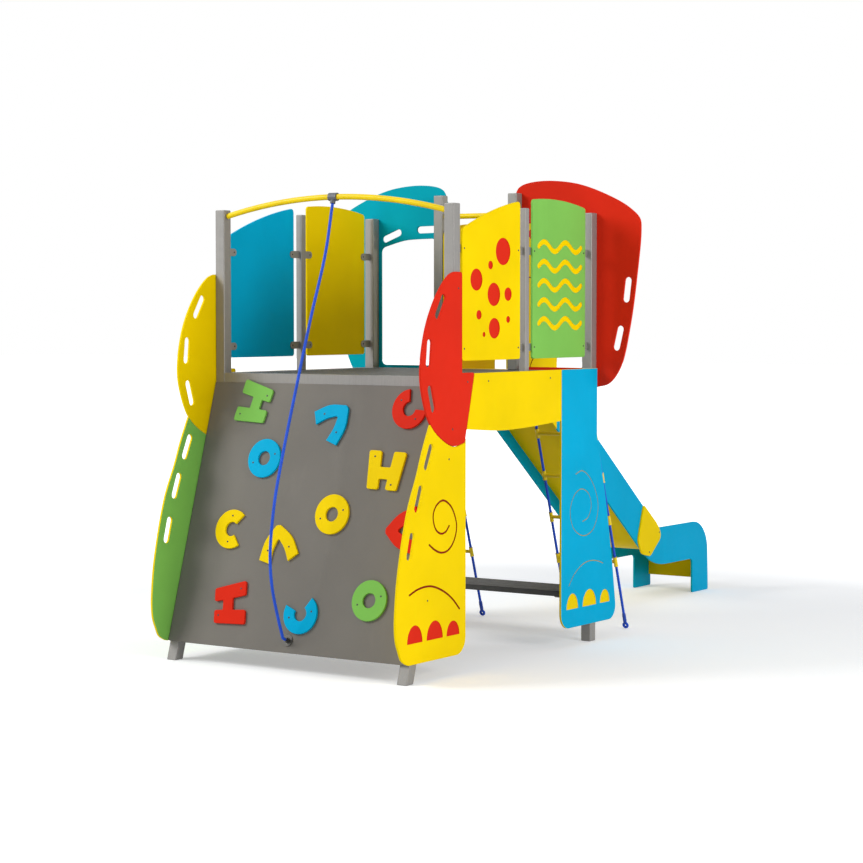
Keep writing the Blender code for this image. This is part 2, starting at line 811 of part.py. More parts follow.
def grips(build):
    """Twelve loose holds: name, shape, colour, place across, place down the slope, turn."""
    layout = (
        ("grip_double_green", double_bar_grip, GREEN, -0.469, 0.111, 80),
        ("grip_chevron_blue", chevron_grip, BLUE, 0.147, 0.116, -45.5),
        ("grip_horseshoe_red", horseshoe_grip, RED, 0.530, 0.118, 47),
        ("grip_ring_blue", ring_grip, BLUE, -0.335, 0.406, 0),
        ("grip_double_yellow", double_bar_grip, YELLOW, 0.443, 0.439, -1.5),
        ("grip_ring_yellow", ring_grip, YELLOW, 0.162, 0.681, 0),
        ("grip_horseshoe_yellow", horseshoe_grip, YELLOW, -0.467, 0.792, -2),
        ("grip_chevron_red", chevron_grip, RED, 0.507, 0.748, 94),
        ("grip_chevron_yellow", chevron_grip, YELLOW, -0.164, 0.753, 12),
        ("grip_double_red", double_bar_grip, RED, -0.385, 1.185, -81),
        ("grip_horseshoe_blue", horseshoe_grip, BLUE, 0.072, 1.202, 107),
        ("grip_ring_green", ring_grip, GREEN, 0.481, 1.105, 0),
    )
    full = (WALL_TOP - GROUND_CLEARANCE) * math.hypot(1, WALL_LEAN)
    margins = GRIP_TOP_MARGIN + GRIP_FOOT_MARGIN
    stretch = (full - margins) / (GRIP_LAYOUT_LENGTH - margins)
    for name, shape, colour, across, down, turn in layout:
        x = across * POST_X / GRIP_LAYOUT_HALF_WIDTH
        y = -GRIP_TOP_MARGIN - (down - GRIP_TOP_MARGIN) * stretch
        build.board(
            name, turned(shape(), turn, x, y), GRIP_THICKNESS,
            wall_plane(GAP + GRIP_THICKNESS / 2), plastic_board(name, colour),
        )


# Front rail, clamp and climbing rope

def rail_point(t):
    """A point on the arched rail, t from -1 to 1 across."""
    tilt = 2 * math.atan(RAIL_RISE / POST_INNER_X)
    half = POST_INNER_X - GAP - BAR_RADIUS * math.sin(tilt)
    radius = (half ** 2 + RAIL_RISE ** 2) / (2 * RAIL_RISE)
    swing = math.asin(half / radius) * t
    low = above(RAIL_ABOVE_DECK)
    return (radius * math.sin(swing), 0.0, low + RAIL_RISE - radius * (1 - math.cos(swing)))


def arch_rail(build):
    steel = material("galvanised_steel", POST_GREY, 0.42, 0.55)
    steps = 16
    build.tube("arch_rail", [rail_point(2 * n / steps - 1) for n in range(steps + 1)], BAR_RADIUS, steel, 3)


def rope_clamp(build):
    """A two-ear sleeve round the rail's crown, with the boss that the rope hangs from."""
    crown = Vector(rail_point(0))
    reach = Vector((CLAMP_LENGTH / 2, 0, 0))
    black = material("black_polymer", (0.09, 0.09, 0.10), 0.5)
    outer = BAR_RADIUS + CLAMP_CLEARANCE + CLAMP_WALL
    clamp = build.cylinder("rope_clamp", crown - reach, crown + reach, outer, black, 20)
    boss = build.cylinder(
        "rope_clamp_boss", crown + rope_heading() * (BAR_RADIUS + 0.003), clamp_end(), EYE_STUB_RADIUS
    )
    bore = build.cylinder(
        "rope_clamp_bore", crown - 2 * reach, crown + 2 * reach, BAR_RADIUS + CLAMP_CLEARANCE, sides=20
    )
    fuse(clamp, boss)
    cut(clamp, bore)


def rope_heading():
    """The way the climbing rope leaves its clamp: down, and a little forward."""
    return Vector((0, -0.25, -1)).normalized()


def clamp_end():
    """The face of the clamp's boss, where the rope begins."""
    return Vector(rail_point(0)) + rope_heading() * (BAR_RADIUS + CLAMP_WALL + 0.014)


def wall_eye_place():
    """The rope's anchor on the wall, and the outward normal there."""
    z = 0.161 * DECK_HEIGHT / 1.5
    normal = Vector((0, -1, WALL_LEAN)).normalized()
    return Vector((0.017, wall_y(z), z)), normal


def rope_wall_eye(build):
    place, normal = wall_eye_place()
    steel = material("stainless_fitting", (0.62, 0.62, 0.63), 0.3, 0.9)
    plate = build.cylinder(
        "rope_wall_eye", place + normal * GAP, place + normal * (GAP + EYE_PLATE), EYE_RADIUS, steel, 20
    )
    stub = build.cylinder(
        "rope_wall_eye_stub", place + normal * (GAP + EYE_PLATE / 2),
        place + normal * (EYE_PLATE + EYE_STUB), EYE_STUB_RADIUS,
    )
    fuse(plate, stub)


def even(points, step):
    """Points at an even step along a smooth curve through the given ones."""
    fine = [Vector(p) for p in smooth(points, 24)]
    lengths = [0.0]
    for a, b in zip(fine, fine[1:]):
        lengths.append(lengths[-1] + (b - a).length)
    count = max(2, round(lengths[-1] / step))
    found = []
    i = 0
    for n in range(count + 1):
        target = lengths[-1] * n / count
        while i < len(fine) - 2 and lengths[i + 1] < target:
            i += 1
        share = (target - lengths[i]) / (lengths[i + 1] - lengths[i])
        found.append(tuple(fine[i].lerp(fine[i + 1], min(1.0, share))))
    return found


def climbing_rope_ends():
    """The rope's two cut faces, on the clamp's boss and on the stub of the wall eye."""
    place, normal = wall_eye_place()
    return clamp_end() + rope_heading() * GAP, place + normal * (EYE_PLATE + EYE_STUB + GAP)


def climbing_rope_route():
    """From the clamp, bowed out over the wall, and back in to the eye near its foot."""
    start, end = climbing_rope_ends()
    normal = wall_eye_place()[1]
    straight = 2 * ROPE_RADIUS
    scale = DECK_HEIGHT / 1.5
    return [
        start + rope_heading() * straight,
        (0.0, -0.071, above(0.63)),
        (0.0, -0.200, above(0.293)),
        (0.0, -0.323, above(-0.057)),
        (0.0, -0.440 * scale, 1.099 * scale),
        (0.002, -0.512 * scale, 0.859 * scale),
        (0.004, -0.550 * scale, 0.602 * scale),
        (0.009, -0.541 * scale, 0.444 * scale),
        (0.014, -0.502 * scale, 0.290 * scale),
        end + normal * straight,
    ]


def climbing_rope(build):
    start, end = climbing_rope_ends()
    points = [start, *even(climbing_rope_route(), ROPE_STEP), end]
    build.tube("climbing_rope", points, ROPE_RADIUS, material("rope_blue", ROPE_BLUE, 0.85))


# Slide

def slide_bed(build):
    """One board bent twice and curled down at its end."""
    front = SLIDE_END_Y - 0.02
    path = rounded([
        (SLIDE_START_Y, DECK_HEIGHT, 0),
        (SLIDE_BREAK_Y, DECK_HEIGHT, 0.12),
        (SLIDE_FLAT_Y, RUNOUT_HEIGHT, 0.35),
        (front, RUNOUT_HEIGHT, 0.12),
        (front + 0.004, 0.075, 0),
    ])
    width = 2 * (SLIDE_HALF_WIDTH - GAP)
    build.board(
        "slide_bed", [strip(path, SLIDE_BED)], width, side_plane(0), plastic_board("slide_yellow", YELLOW)
    )


def slide_side_outline():
    drop = SLIDE_SLOPE
    start = SLIDE_SEAM_Y + SEAM / 2
    top = RUNOUT_HEIGHT + RUNOUT_SIDE_ABOVE
    low = RUNOUT_HEIGHT - RUNOUT_SIDE_BELOW
    top_corner = SLIDE_BREAK_Y + (DECK_HEIGHT + SIDE_ABOVE_BED - top) / drop
    low_corner = SLIDE_BREAK_Y + (DECK_HEIGHT - SIDE_BELOW_BED - low) / drop
    return rounded([
        (start, bed_z(start) + SIDE_ABOVE_BED, 0),
        (start, bed_z(start) - SIDE_BELOW_BED, 0),
        (low_corner, low, 0.5),
        (SLIDE_END_Y - SLIDE_FOOT_LENGTH, low, 0.03),
        (SLIDE_END_Y - SLIDE_FOOT_LENGTH, 0, 0.012),
        (SLIDE_END_Y, 0, 0.012),
        (SLIDE_END_Y - 0.018, top, SLIDE_NOSE_RADIUS),
        (top_corner, top, 0.08),
    ])


def slide_sides(build):
    paint = plastic_board("slide_side_blue", BLUE)
    for name, sign in sides():
        x = sign * (SLIDE_HALF_WIDTH + BOARD / 2)
        build.board(f"slide_side_{name}", [slide_side_outline()], BOARD, side_plane(x), paint)


def slide_splices(build):
    """The knee plates on the outside of the lower bend."""
    y, z = SLIDE_FLAT_Y, RUNOUT_HEIGHT
    corners = [
        (-0.139, 0.297, 0.012), (-0.214, 0.080, 0.05), (-0.165, -0.010, 0.05), (-0.055, -0.034, 0.04),
        (0.095, 0.080, 0.045), (0.060, 0.140, 0.01), (0.020, 0.178, 0.01),
    ]
    outline = rounded([(y + dy, z + dz, radius) for dy, dz, radius in corners])
    for name, sign in sides():
        x = sign * (SIDE_OUTER_X + GAP + SPLICE_THICKNESS / 2)
        build.board(
            f"slide_splice_{name}", [outline], SPLICE_THICKNESS, side_plane(x),
            plastic_board("splice_yellow", YELLOW),
        )


def head_outline():
    """The high cheek beside the slide's start: clear of the deck in front, seamed to the side behind."""
    rear = SLIDE_SEAM_Y - SEAM / 2
    behind_beam = REAR_Y + HALF_POST + GAP
    clear = above(0.005)
    under = DECK_HEIGHT - SIDE_BELOW_BED
    return rounded([
        (REAR_Y - 0.023, clear, 0.004),
        (behind_beam, clear, 0),
        (behind_beam, under, 0),
        (SLIDE_BREAK_Y, under, 0.06),
        (rear, bed_z(rear) - SIDE_BELOW_BED, 0),
        (rear, above(0.045), 0.05),
        (rear + 0.0285, above(0.818), 0.02),
        (REAR_Y + 0.37, above(0.842), 0.9),
        (REAR_Y + 0.16, above(0.833), 0.6),
        (REAR_Y - 0.023, above(0.785), 0.035),
    ])


def head_panels(build):
    for name, sign in sides():
        x = sign * (SLIDE_HALF_WIDTH + BOARD / 2)
        build.board(
            f"head_panel_{name}", [head_outline()], BOARD, side_plane(x),
            plastic_board("head_yellow", YELLOW),
        )


# Boards on the body

def ear_outline(sign):
    """The big back ear, drawn in (X, Z) for the right side and mirrored for the left."""
    outer = POST_X + EAR_OVERHANG
    span = outer - EAR_INNER_X
    bottom = above(-EAR_DROP)

    def across(share):
        return EAR_INNER_X + share * span

    edge = smooth([
        (EAR_INNER_X, above(0.950)),
        (across(0.038), above(1.023)),
        (across(0.171), above(1.055)),
        (across(0.493), above(1.038)),
        (across(0.802), above(0.947)),
        (across(0.930), above(0.885)),
        (across(0.990), above(0.835)),
        (outer, above(0.780)),
        (across(0.970), above(0.521)),
        (across(0.919), above(0.243)),
        (across(0.849), above(0.024)),
        (across(0.760), above(-0.068)),
        (across(0.660), bottom),
    ])
    points = [(EAR_INNER_X, bottom), *edge]
    return [(sign * x, z) for x, z in points]


def doorway_outline(sign):
    floor = above(BOARD_ABOVE_DECK)
    points = rounded([
        (DOOR_INNER_X, floor, 0.03),
        (DOOR_OUTER_X, floor, 0.03),
        (DOOR_OUTER_X, above(0.700), 0.035),
        ((DOOR_INNER_X + DOOR_OUTER_X) / 2 + 0.03, above(0.745), 0.5),
        (DOOR_INNER_X, above(0.750), 0.04),
    ])
    return [(sign * x, z) for x, z in points]


def ears(build):
    outer = POST_X + EAR_OVERHANG
    door_middle = (DOOR_INNER_X + DOOR_OUTER_X) / 2
    holes = (
        (outer - 0.083, above(0.447), 7),
        (outer - 0.1365, above(0.182), 13.5),
        (door_middle + 0.121, above(0.770), 111),
        (door_middle - 0.1265, above(0.802), 91),
    )
    for name, sign in sides():
        slots = [slot(sign * x, z, sign * lean) for x, z, lean in holes]
        build.board(
            f"ear_{name}",
            [ear_outline(sign), doorway_outline(sign), *slots],
            EAR_BOARD,
            cross_plane(EAR_PLANE_Y + EAR_BOARD / 2),
            plastic_board(f"ear_{name}", RED if sign > 0 else TEAL),
        )


def hip_outline():
    """A straight rear edge on the post, a step on the deck's edge, and a full curve in front."""
    step = above(BOARD_ABOVE_DECK + 0.004)
    curve = smooth([
        (0.055, above(-0.330)),
        (-0.044, above(-0.345)),
        (-0.149, above(-0.308)),
        (-0.257, above(-0.226)),
        (-0.329, above(-0.069)),
        (-0.341, above(0.045)),
        (-0.301, above(0.231)),
        (-0.229, above(0.368)),
        (-0.149, above(0.463)),
        (-0.085, above(0.512)),
        (-0.040, above(0.526)),
    ], 3)
    corner = rounded([
        (HALF_POST, above(0.526), 0.015),
        (HALF_POST, step, 0.006),
        (0.144, step, 0.012),
        (0.055, above(-0.330), 0),
        (-0.040, above(0.526), 0),
    ])
    return corner[:-2] + curve


def hip_boards(build):
    holes = ((-0.167, 0.352, 32.5), (-0.270, 0.123, 6), (-0.2455, -0.103, -17.3))
    for name, sign in sides():
        slots = [slot(y, above(rise), lean) for y, rise, lean in holes]
        build.board(
            f"hip_board_{name}",
            [hip_outline(), *slots],
            EAR_BOARD,
            side_plane(sign * (BOARD_INNER_X + EAR_BOARD / 2)),
            plastic_board(f"hip_board_{name}", RED if sign > 0 else YELLOW),
        )


def front_leg_outline():
    """The foreleg's front edge stands off the climbing wall by these distances."""
    edge = (
        (0.860, 0.165), (0.760, 0.195), (0.681, 0.209), (0.574, 0.238), (0.415, 0.2355),
        (0.291, 0.213), (0.161, 0.159), (0.090, 0.082),
    )
    curve = smooth([(wall_y(share * DECK_HEIGHT) - out, share * DECK_HEIGHT) for share, out in edge], 3)
    heel = rounded([
        (-0.444, GROUND_CLEARANCE, 0),
        (0.0625, GROUND_CLEARANCE, 0.085),
        (0.0625, above(-0.25), 0),
    ])
    return curve + heel


def seam_cutter(build, name, sign):
    """The hip board's outline grown by the seam, which trims the boards that meet it."""
    x = sign * (BOARD_INNER_X + EAR_BOARD / 2)
    return build.board(f"{name}_seam", [grown(hip_outline(), SEAM)], 2 * EAR_BOARD, side_plane(x))


def front_legs(build):
    holes = ((-0.272, -0.388, 24.8), (-0.360, -0.589, 21.1), (-0.4315, -0.817, 15.8))
    for name, sign in sides():
        slots = [slot(y, above(rise), lean) for y, rise, lean in holes]
        leg = build.board(
            f"leg_front_{name}",
            [front_leg_outline(), *slots],
            BOARD,
            side_plane(sign * (BOARD_INNER_X + BOARD / 2)),
            plastic_board(f"leg_front_{name}", YELLOW if sign > 0 else GREEN),
        )
        cut(leg, seam_cutter(build, f"leg_front_{name}", sign))


def belly_outline():
    top = above(BOARD_ABOVE_DECK)
    rear = REAR_LEG_FRONT - SEAM
    arch = smooth([
        (0.02, above(-0.262)), (0.382, above(-0.285)), (0.629, above(-0.282)), (rear, above(-0.261)),
    ])
    return arch + [(rear, top), (0.02, top)]


def belly_panels(build):
    for name, sign in sides():
        belly = build.board(
            f"belly_panel_{name}", [belly_outline()], BOARD,
            side_plane(sign * (BOARD_INNER_X + BOARD / 2)),
            plastic_board("belly_yellow", YELLOW),
        )
        cut(belly, seam_cutter(build, f"belly_panel_{name}", sign))


def rear_leg_outline():
    top = above(BOARD_ABOVE_DECK)
    back = REAR_Y + 0.018
    curve = smooth([
        (REAR_Y + 0.231, 0.200),
        (REAR_Y + 0.190, 0.30 * DECK_HEIGHT),
        (REAR_Y + 0.120, 0.519 * DECK_HEIGHT),
        (REAR_Y + 0.063, 0.66 * DECK_HEIGHT),
        (back, 0.767 * DECK_HEIGHT),
    ], 3)
    heel = rounded([
        (REAR_LEG_FRONT, top, 0),
        (REAR_LEG_FRONT, GROUND_CLEARANCE + 0.004, 0.085),
        (REAR_Y + 0.246, GROUND_CLEARANCE + 0.004, 0.075),
        (REAR_Y + 0.231, 0.200, 0),
    ])
    return heel[:-1] + curve + [(back, top)]


def rear_legs(build):
    for name, sign in sides():
        build.board(
            f"leg_rear_{name}", [rear_leg_outline()], BOARD,
            side_plane(sign * (BOARD_INNER_X + BOARD / 2)),
            plastic_board(f"leg_rear_{name}", BLUE if sign > 0 else RED),
        )


def barrier_outline(front, rear):
    """A board between two posts, with its top on one shallow arc over the whole side."""
    middle = REAR_Y * 0.674
    low = above(BARRIER_ABOVE_DECK)

    def top(y):
        return above(BARRIER_TOP) - (y - middle) ** 2 / (2 * BARRIER_TOP_RADIUS)

    steps = 6
    arc = [(rear + (front - rear) * n / steps, top(rear + (front - rear) * n / steps), 0) for n in range(steps + 1)]
    arc[0] = (*arc[0][:2], 0.02)
    arc[-1] = (*arc[-1][:2], 0.02)
    return rounded([(front, low, 0.015), (rear, low, 0.015), *arc])


def barriers(build):
    tab_face = POST_X + TAB_THICKNESS / 2 + GAP
    half_mid = MID_POST_SIZE / 2
    bays = (
        ("front", HALF_POST + BARRIER_POST_GAP, MID_POST_Y - half_mid - BARRIER_POST_GAP, (YELLOW, TEAL)),
        ("rear", MID_POST_Y + half_mid + BARRIER_POST_GAP, REAR_Y - HALF_POST - BARRIER_POST_GAP,
         (GREEN, YELLOW)),
    )
    for bay, front, rear, colours in bays:
        for (name, sign), colour in zip(sides(), colours):
            build.board(
                f"barrier_{bay}_{name}", [barrier_outline(front, rear)], BOARD,
                side_plane(sign * (tab_face + BOARD / 2)),
                plastic_board(f"barrier_{bay}_{name}", colour),
            )


# Rope ladders

def ladder_route(x):
    """The rope from the hanger's underside, which it leaves square, to just above the ground."""
    top = HANGER_TOP - HANGER_THICKNESS - GAP
    below = top - 2 * ROPE_RADIUS
    foot = 2 * (EYE_LOOP_RADIUS + ROPE_RADIUS) + FERRULE_LENGTH * 0.6
    middle = (below + foot) / 2
    line = [(x, ladder_y(z), z) for z in (below, middle, foot)]
    return [(x, ladder_y(below), top), *even(line, ROPE_STEP)]


def ladder_ropes(build):
    """Each rope ends in a ferrule and an eye that stands on the ground."""
    rope = material("rope_blue", ROPE_BLUE, 0.85)
    along = Vector((0, LADDER_LEAN, -1)).normalized()
    for name, sign in sides():
        for n, line in enumerate(LADDER_LINES):
            x = sign * line
            label = f"ladder_rope_{name}_{'inner' if n == 0 else 'outer'}"
            route = ladder_route(x)
            tube = build.tube(label, route, ROPE_RADIUS, rope)
            end = Vector(route[-1])
            ferrule = build.cylinder(
                f"{label}_ferrule", end - along * 0.01, end + along * (FERRULE_LENGTH - 0.01),
                FERRULE_RADIUS, sides=10,
            )
            z = EYE_LOOP_RADIUS + ROPE_RADIUS + 0.001
            loop = build.ring(
                f"{label}_eye", (x, ladder_y(z), z), (1, 0, 0), along, EYE_LOOP_RADIUS, ROPE_RADIUS
            )
            fuse(tube, ferrule, loop)


def ladder_rungs(build):
    """Round rungs with a moulded sleeve at each end that clamps on the rope."""
    yellow = plastic_board("rung_yellow", YELLOW)
    along = Vector((0, LADDER_LEAN, -1)).normalized()
    for name, sign in sides():
        for n, z in enumerate(RUNG_HEIGHTS):
            label = f"rung_{name}_{n + 1}"
            ends = [Vector((sign * line, ladder_y(z), z)) for line in LADDER_LINES]
            rung = build.cylinder(label, ends[0], ends[1], RUNG_RADIUS, yellow, 12)
            bores = []
            for k, end in enumerate(ends):
                reach = along * SLEEVE_LENGTH / 2
                sleeve = build.cylinder(f"{label}_sleeve_{k}", end - reach, end + reach, SLEEVE_RADIUS, sides=12)
                bore = build.cylinder(
                    f"{label}_bore_{k}", end - 2 * reach, end + 2 * reach, ROPE_RADIUS + SLEEVE_CLEARANCE,
                    sides=12,
                )
                fuse(rung, sleeve)
                bores.append(bore)
            cut(rung, *bores)


def main():
    clear_scene()
    front = min(y for y, _ in front_leg_outline())
    shift = (0, -(front + SLIDE_END_Y) / 2, 0)
    build = Builder("elephant_play_structure", shift)
    front_posts(build)
    rear_posts(build)
    mid_posts(build)
    slide_portal(build)
    deck_frame(build)
    deck_plate(build)
    seat_board(build)
    climbing_wall(build)
    grips(build)
    arch_rail(build)
    rope_clamp(build)
    rope_wall_eye(build)
    climbing_rope(build)
    slide_bed(build)
    slide_sides(build)
    slide_splices(build)
    head_panels(build)
    ears(build)
    hip_boards(build)
    front_legs(build)
    belly_panels(build)
    rear_legs(build)
    barriers(build)
    ladder_ropes(build)
    ladder_rungs(build)


main()
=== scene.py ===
import json
import math
from contextlib import contextmanager

import bmesh
import bpy
from mathutils import Matrix, Vector
from mathutils.geometry import delaunay_2d_cdt

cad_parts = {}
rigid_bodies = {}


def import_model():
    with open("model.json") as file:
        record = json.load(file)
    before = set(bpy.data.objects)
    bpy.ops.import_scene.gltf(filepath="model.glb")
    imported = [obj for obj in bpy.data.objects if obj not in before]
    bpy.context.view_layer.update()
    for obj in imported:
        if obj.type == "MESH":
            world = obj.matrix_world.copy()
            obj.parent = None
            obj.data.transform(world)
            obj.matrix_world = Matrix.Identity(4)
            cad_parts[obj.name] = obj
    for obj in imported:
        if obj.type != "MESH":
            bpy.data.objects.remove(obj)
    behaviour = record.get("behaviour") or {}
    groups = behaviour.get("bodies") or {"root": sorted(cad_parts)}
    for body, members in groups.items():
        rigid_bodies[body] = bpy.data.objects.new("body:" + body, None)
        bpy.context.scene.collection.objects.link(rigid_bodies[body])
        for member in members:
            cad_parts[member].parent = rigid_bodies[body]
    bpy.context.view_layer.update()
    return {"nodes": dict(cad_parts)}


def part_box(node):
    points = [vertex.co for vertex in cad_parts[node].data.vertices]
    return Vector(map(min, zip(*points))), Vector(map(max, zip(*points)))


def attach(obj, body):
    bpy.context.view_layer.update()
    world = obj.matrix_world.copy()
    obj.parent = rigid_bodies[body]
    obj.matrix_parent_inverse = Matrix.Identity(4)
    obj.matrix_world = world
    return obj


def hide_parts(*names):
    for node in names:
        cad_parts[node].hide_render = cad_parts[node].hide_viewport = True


bl_info = {
    "name": "Elephant Play Structure",
    "version": (1, 0, 0),
    "blender": (4, 5, 0),
    "location": "View3D > Sidebar > Play Structure",
    "description": "Finishes the boards, ropes, steelwork and fixings of an elephant-shaped play structure",
    "category": "Object",
}

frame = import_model()

# The outlines below are drawn with Y at 0 on the line of the front posts.
TAB_TIP = 0.111  # from that line to the tip of a front post's tabs
LINE_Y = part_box("post_front_right")[1].y - TAB_TIP
SIDES = (("right", 1), ("left", -1))
LADDER_X = {"inner": 0.30, "outer": 0.68}
WELD = 0.00002  # corners of the CAD model nearer than this are one
SQUARE_ON, FLAT_FACE = 0.999, 0.95  # the cosine from which a face looks along a board's normal


# Places


def at(x, y, z):
    """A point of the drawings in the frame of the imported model."""
    return Vector((x, y + LINE_Y, z))


WALL_UP = Vector((0, 0.30, 1)).normalized()
WALL_OUT = Vector((1, 0, 0)).cross(WALL_UP)
WALL_TOP_EDGE = at(0, -0.035, 1.4477)


def on_wall(x, down, out=0.0):
    """A point of the climbing wall: across, down its slope, and out from its face."""
    return WALL_TOP_EDGE + Vector((x, 0, 0)) - WALL_UP * down + WALL_OUT * out


# Curves


def smooth(points, steps=8):
    """Points on a smooth curve through the given ones, with no loop at a close pair."""
    knots = [Vector(p) for p in points]
    knots = [2 * knots[0] - knots[1], *knots, 2 * knots[-1] - knots[-2]]
    found = []
    for four in zip(knots, knots[1:], knots[2:], knots[3:]):
        t = [0.0]
        for p, q in zip(four, four[1:]):
            t.append(t[-1] + math.sqrt((q - p).length))
        for n in range(steps):
            u = t[1] + (t[2] - t[1]) * n / steps
            row = four
            for gap in (1, 2):
                shares = [(u - t[i]) / (t[i + gap] - t[i]) for i in range(4 - gap)]
                row = [p.lerp(q, share) for p, q, share in zip(row, row[1:], shares)]
            found.append(row[0].lerp(row[1], (u - t[1]) / (t[2] - t[1])))
    found.append(knots[-2])
    return found


def run_of(points):
    return sum((b - a).length for a, b in zip(points, points[1:]))


def even(points, step):
    """Points at an even step along a polyline."""
    count = max(2, round(run_of(points) / step))
    target, walked, i, found = run_of(points) / count, 0.0, 0, [points[0]]
    while len(found) < count:
        reach = (points[i + 1] - points[i]).length
        if walked + reach >= target * len(found):
            share = (target * len(found) - walked) / reach
            found.append(points[i].lerp(points[i + 1], share))
        else:
            walked += reach
            i += 1
    return found + [points[-1]]


def arc(steps, start=0.0, turn=math.tau):
    """The cosine and sine at even steps of a turn, with both its ends."""
    angles = [start + turn * n / steps for n in range(steps + 1)]
    return [(math.cos(a), math.sin(a)) for a in angles]


# Which steps of an outline belong to a curve, in metres and radians
STRAIGHT = 0.25  # a longer step is a straight side
ARC_STEP, ARC_BEND = 0.08, 0.85  # the longest step and sharpest bend of a small arc
CURVE_BEND = (0.006, 0.56)  # the bend from one step of a curve to the next
LIKE_STEP = 0.4  # the least share of this step that the next one of its curve has


def finer(loop):
    """A closed outline with the steps of its curves halved twice, and its corners and straights kept."""
    for _ in range(2):
        count = len(loop)
        out = []
        for i in range(count):
            a, b, c, d = (loop[(i + k) % count] for k in (-1, 0, 1, 2))
            out.append(b)
            back, here, ahead = b - a, c - b, d - c
            size = here.length
            bends = (back.angle(here, 0), here.angle(ahead, 0))
            small_arc = size < ARC_STEP and max(bends) < ARC_BEND and min(bends) > 0.5 * max(bends)
            runs = []
            for run, bend in ((back, bends[0]), (ahead, bends[1])):
                soft = run.length > LIKE_STEP * size and CURVE_BEND[0] < bend < CURVE_BEND[1]
                runs.append(run * min(1, size / run.length) if soft or small_arc else None)
            if any(runs) and size < STRAIGHT:
                near, far = (here if run is None else run for run in runs)
                out.append((b + c) / 2 + (near - far) / 16)
        loop = out
    return loop


# Nodes and paints


class Nodes:
    """A node tree being made."""

    def __init__(self, net):
        self.net = net

    def feed(self, node, inputs):
        """Gives a node's inputs, by name or number, a value or the link of a socket."""
        for name, value in inputs.items():
            if isinstance(value, bpy.types.NodeSocket):
                self.net.links.new(value, node.inputs[name])
            else:
                node.inputs[name].default_value = value
        return node

    def node(self, kind, inputs=(), **settings):
        made = self.net.nodes.new(kind)
        for name, value in settings.items():
            setattr(made, name, value)
        return self.feed(made, dict(inputs))

    def maths(self, operation, *values):
        return self.node("ShaderNodeMath", dict(enumerate(values)), operation=operation).outputs[0]


def linear(colour):
    return [c / 12.92 if c <= 0.04045 else ((c + 0.055) / 1.055) ** 2.4 for c in colour]


def shade(colour, amount):
    """The colour made darker below 1 and brighter above it."""
    return tuple(min(c * amount, 1.0) for c in colour)


class Paint(Nodes):
    """A material being made: its nodes, and its principled shader."""

    def __init__(self, name, roughness, metallic=0.0, specular=0.5):
        self.material = bpy.data.materials.new(name)
        self.material.use_nodes = True
        super().__init__(self.material.node_tree)
        self.shader = self.net.nodes["Principled BSDF"]
        self.give({"Roughness": roughness, "Metallic": metallic, "Specular IOR Level": specular})

    def give(self, inputs):
        self.feed(self.shader, inputs)

    def place(self, stretch=(1, 1, 1)):
        """Object coordinates, stretched for one pattern."""
        source = self.node("ShaderNodeTexCoord").outputs["Object"]
        return self.node("ShaderNodeMapping", {"Vector": source, "Scale": stretch}).outputs[0]

    def noise(self, scale, detail=3.0, stretch=(1, 1, 1)):
        inputs = {"Vector": self.place(stretch), "Scale": scale, "Detail": detail}
        return self.node("ShaderNodeTexNoise", inputs).outputs["Fac"]

    def cells(self, scale, **settings):
        return self.node("ShaderNodeTexVoronoi", {"Vector": self.place(), "Scale": scale}, **settings)

    def span(self, value, low, high, start=0.3, end=0.7):
        """The value's range from start to end, moved to low to high."""
        inputs = {"Value": value, "From Min": start, "From Max": end, "To Min": low, "To Max": high}
        return self.node("ShaderNodeMapRange", inputs).outputs["Result"]

    def blend(self, factor, first, second):
        """Two colours, as display values or sockets, mixed by a socket."""
        colours = [c if isinstance(c, bpy.types.NodeSocket) else (*linear(c), 1) for c in (first, second)]
        made = self.node("ShaderNodeMix", {"Factor": factor}, data_type="RGBA")
        sockets = [n for n, socket in enumerate(made.inputs) if socket.type == "RGBA"]
        self.feed(made, dict(zip(sockets, colours)))
        return [o for o in made.outputs if o.type == "RGBA"][0]

    def mottle(self, value, colour, dark, light):
        """The colour, made this dark where the value is low and this light where it is high."""
        return self.blend(self.span(value, 0.0, 1.0), shade(colour, dark), shade(colour, light))

    def colour(self, socket):
        self.give({"Base Color": socket})

    def rough(self, value, low, high):
        self.give({"Roughness": self.span(value, low, high)})

    def bump(self, height, strength, distance, before=None):
        inputs = {"Height": height, "Strength": strength, "Distance": distance}
        if before:
            inputs["Normal"] = before
        made = self.node("ShaderNodeBump", inputs).outputs["Normal"]
        self.give({"Normal": made})
        return made


def made_once(maker):
    """Keeps each paint by its name, so that pieces share it."""
    def once(name, *values):
        return bpy.data.materials.get(name) or maker(name, *values)
    return once


@made_once
def sheet_plastic(name, colour):
    """Solid-coloured polyethylene sheet: a fine pebbled face, faint clouding and light handling scuffs."""
    paint = Paint(name, 0.46, specular=0.03)
    tone = paint.mottle(paint.noise(2.6, 4.0), colour, 0.975, 1.02)
    scuff = paint.span(paint.noise(9.0, 6.0, (1.0, 1.0, 0.22)), 0.0, 0.10, 0.60, 0.80)
    paint.colour(paint.blend(scuff, tone, shade(colour, 1.3)))
    paint.rough(paint.noise(38.0, 4.0), 0.37, 0.49)
    grain = paint.bump(paint.noise(950.0, 2.0), 0.16, 0.0006)
    paint.bump(paint.noise(5.5, 2.0), 0.10, 0.004, grain)
    return paint.material


@made_once
def sawn_edge(name, colour):
    """The routed edge of a sheet: the core colour with cutter marks along it."""
    paint = Paint(name, 0.55, specular=0.04)
    marks = paint.noise(420.0, 2.0, (1.0, 1.0, 0.35))
    paint.colour(paint.mottle(marks, colour, 0.96, 1.05))
    paint.rough(paint.noise(60.0), 0.48, 0.62)
    paint.bump(marks, 0.22, 0.0005)
    return paint.material


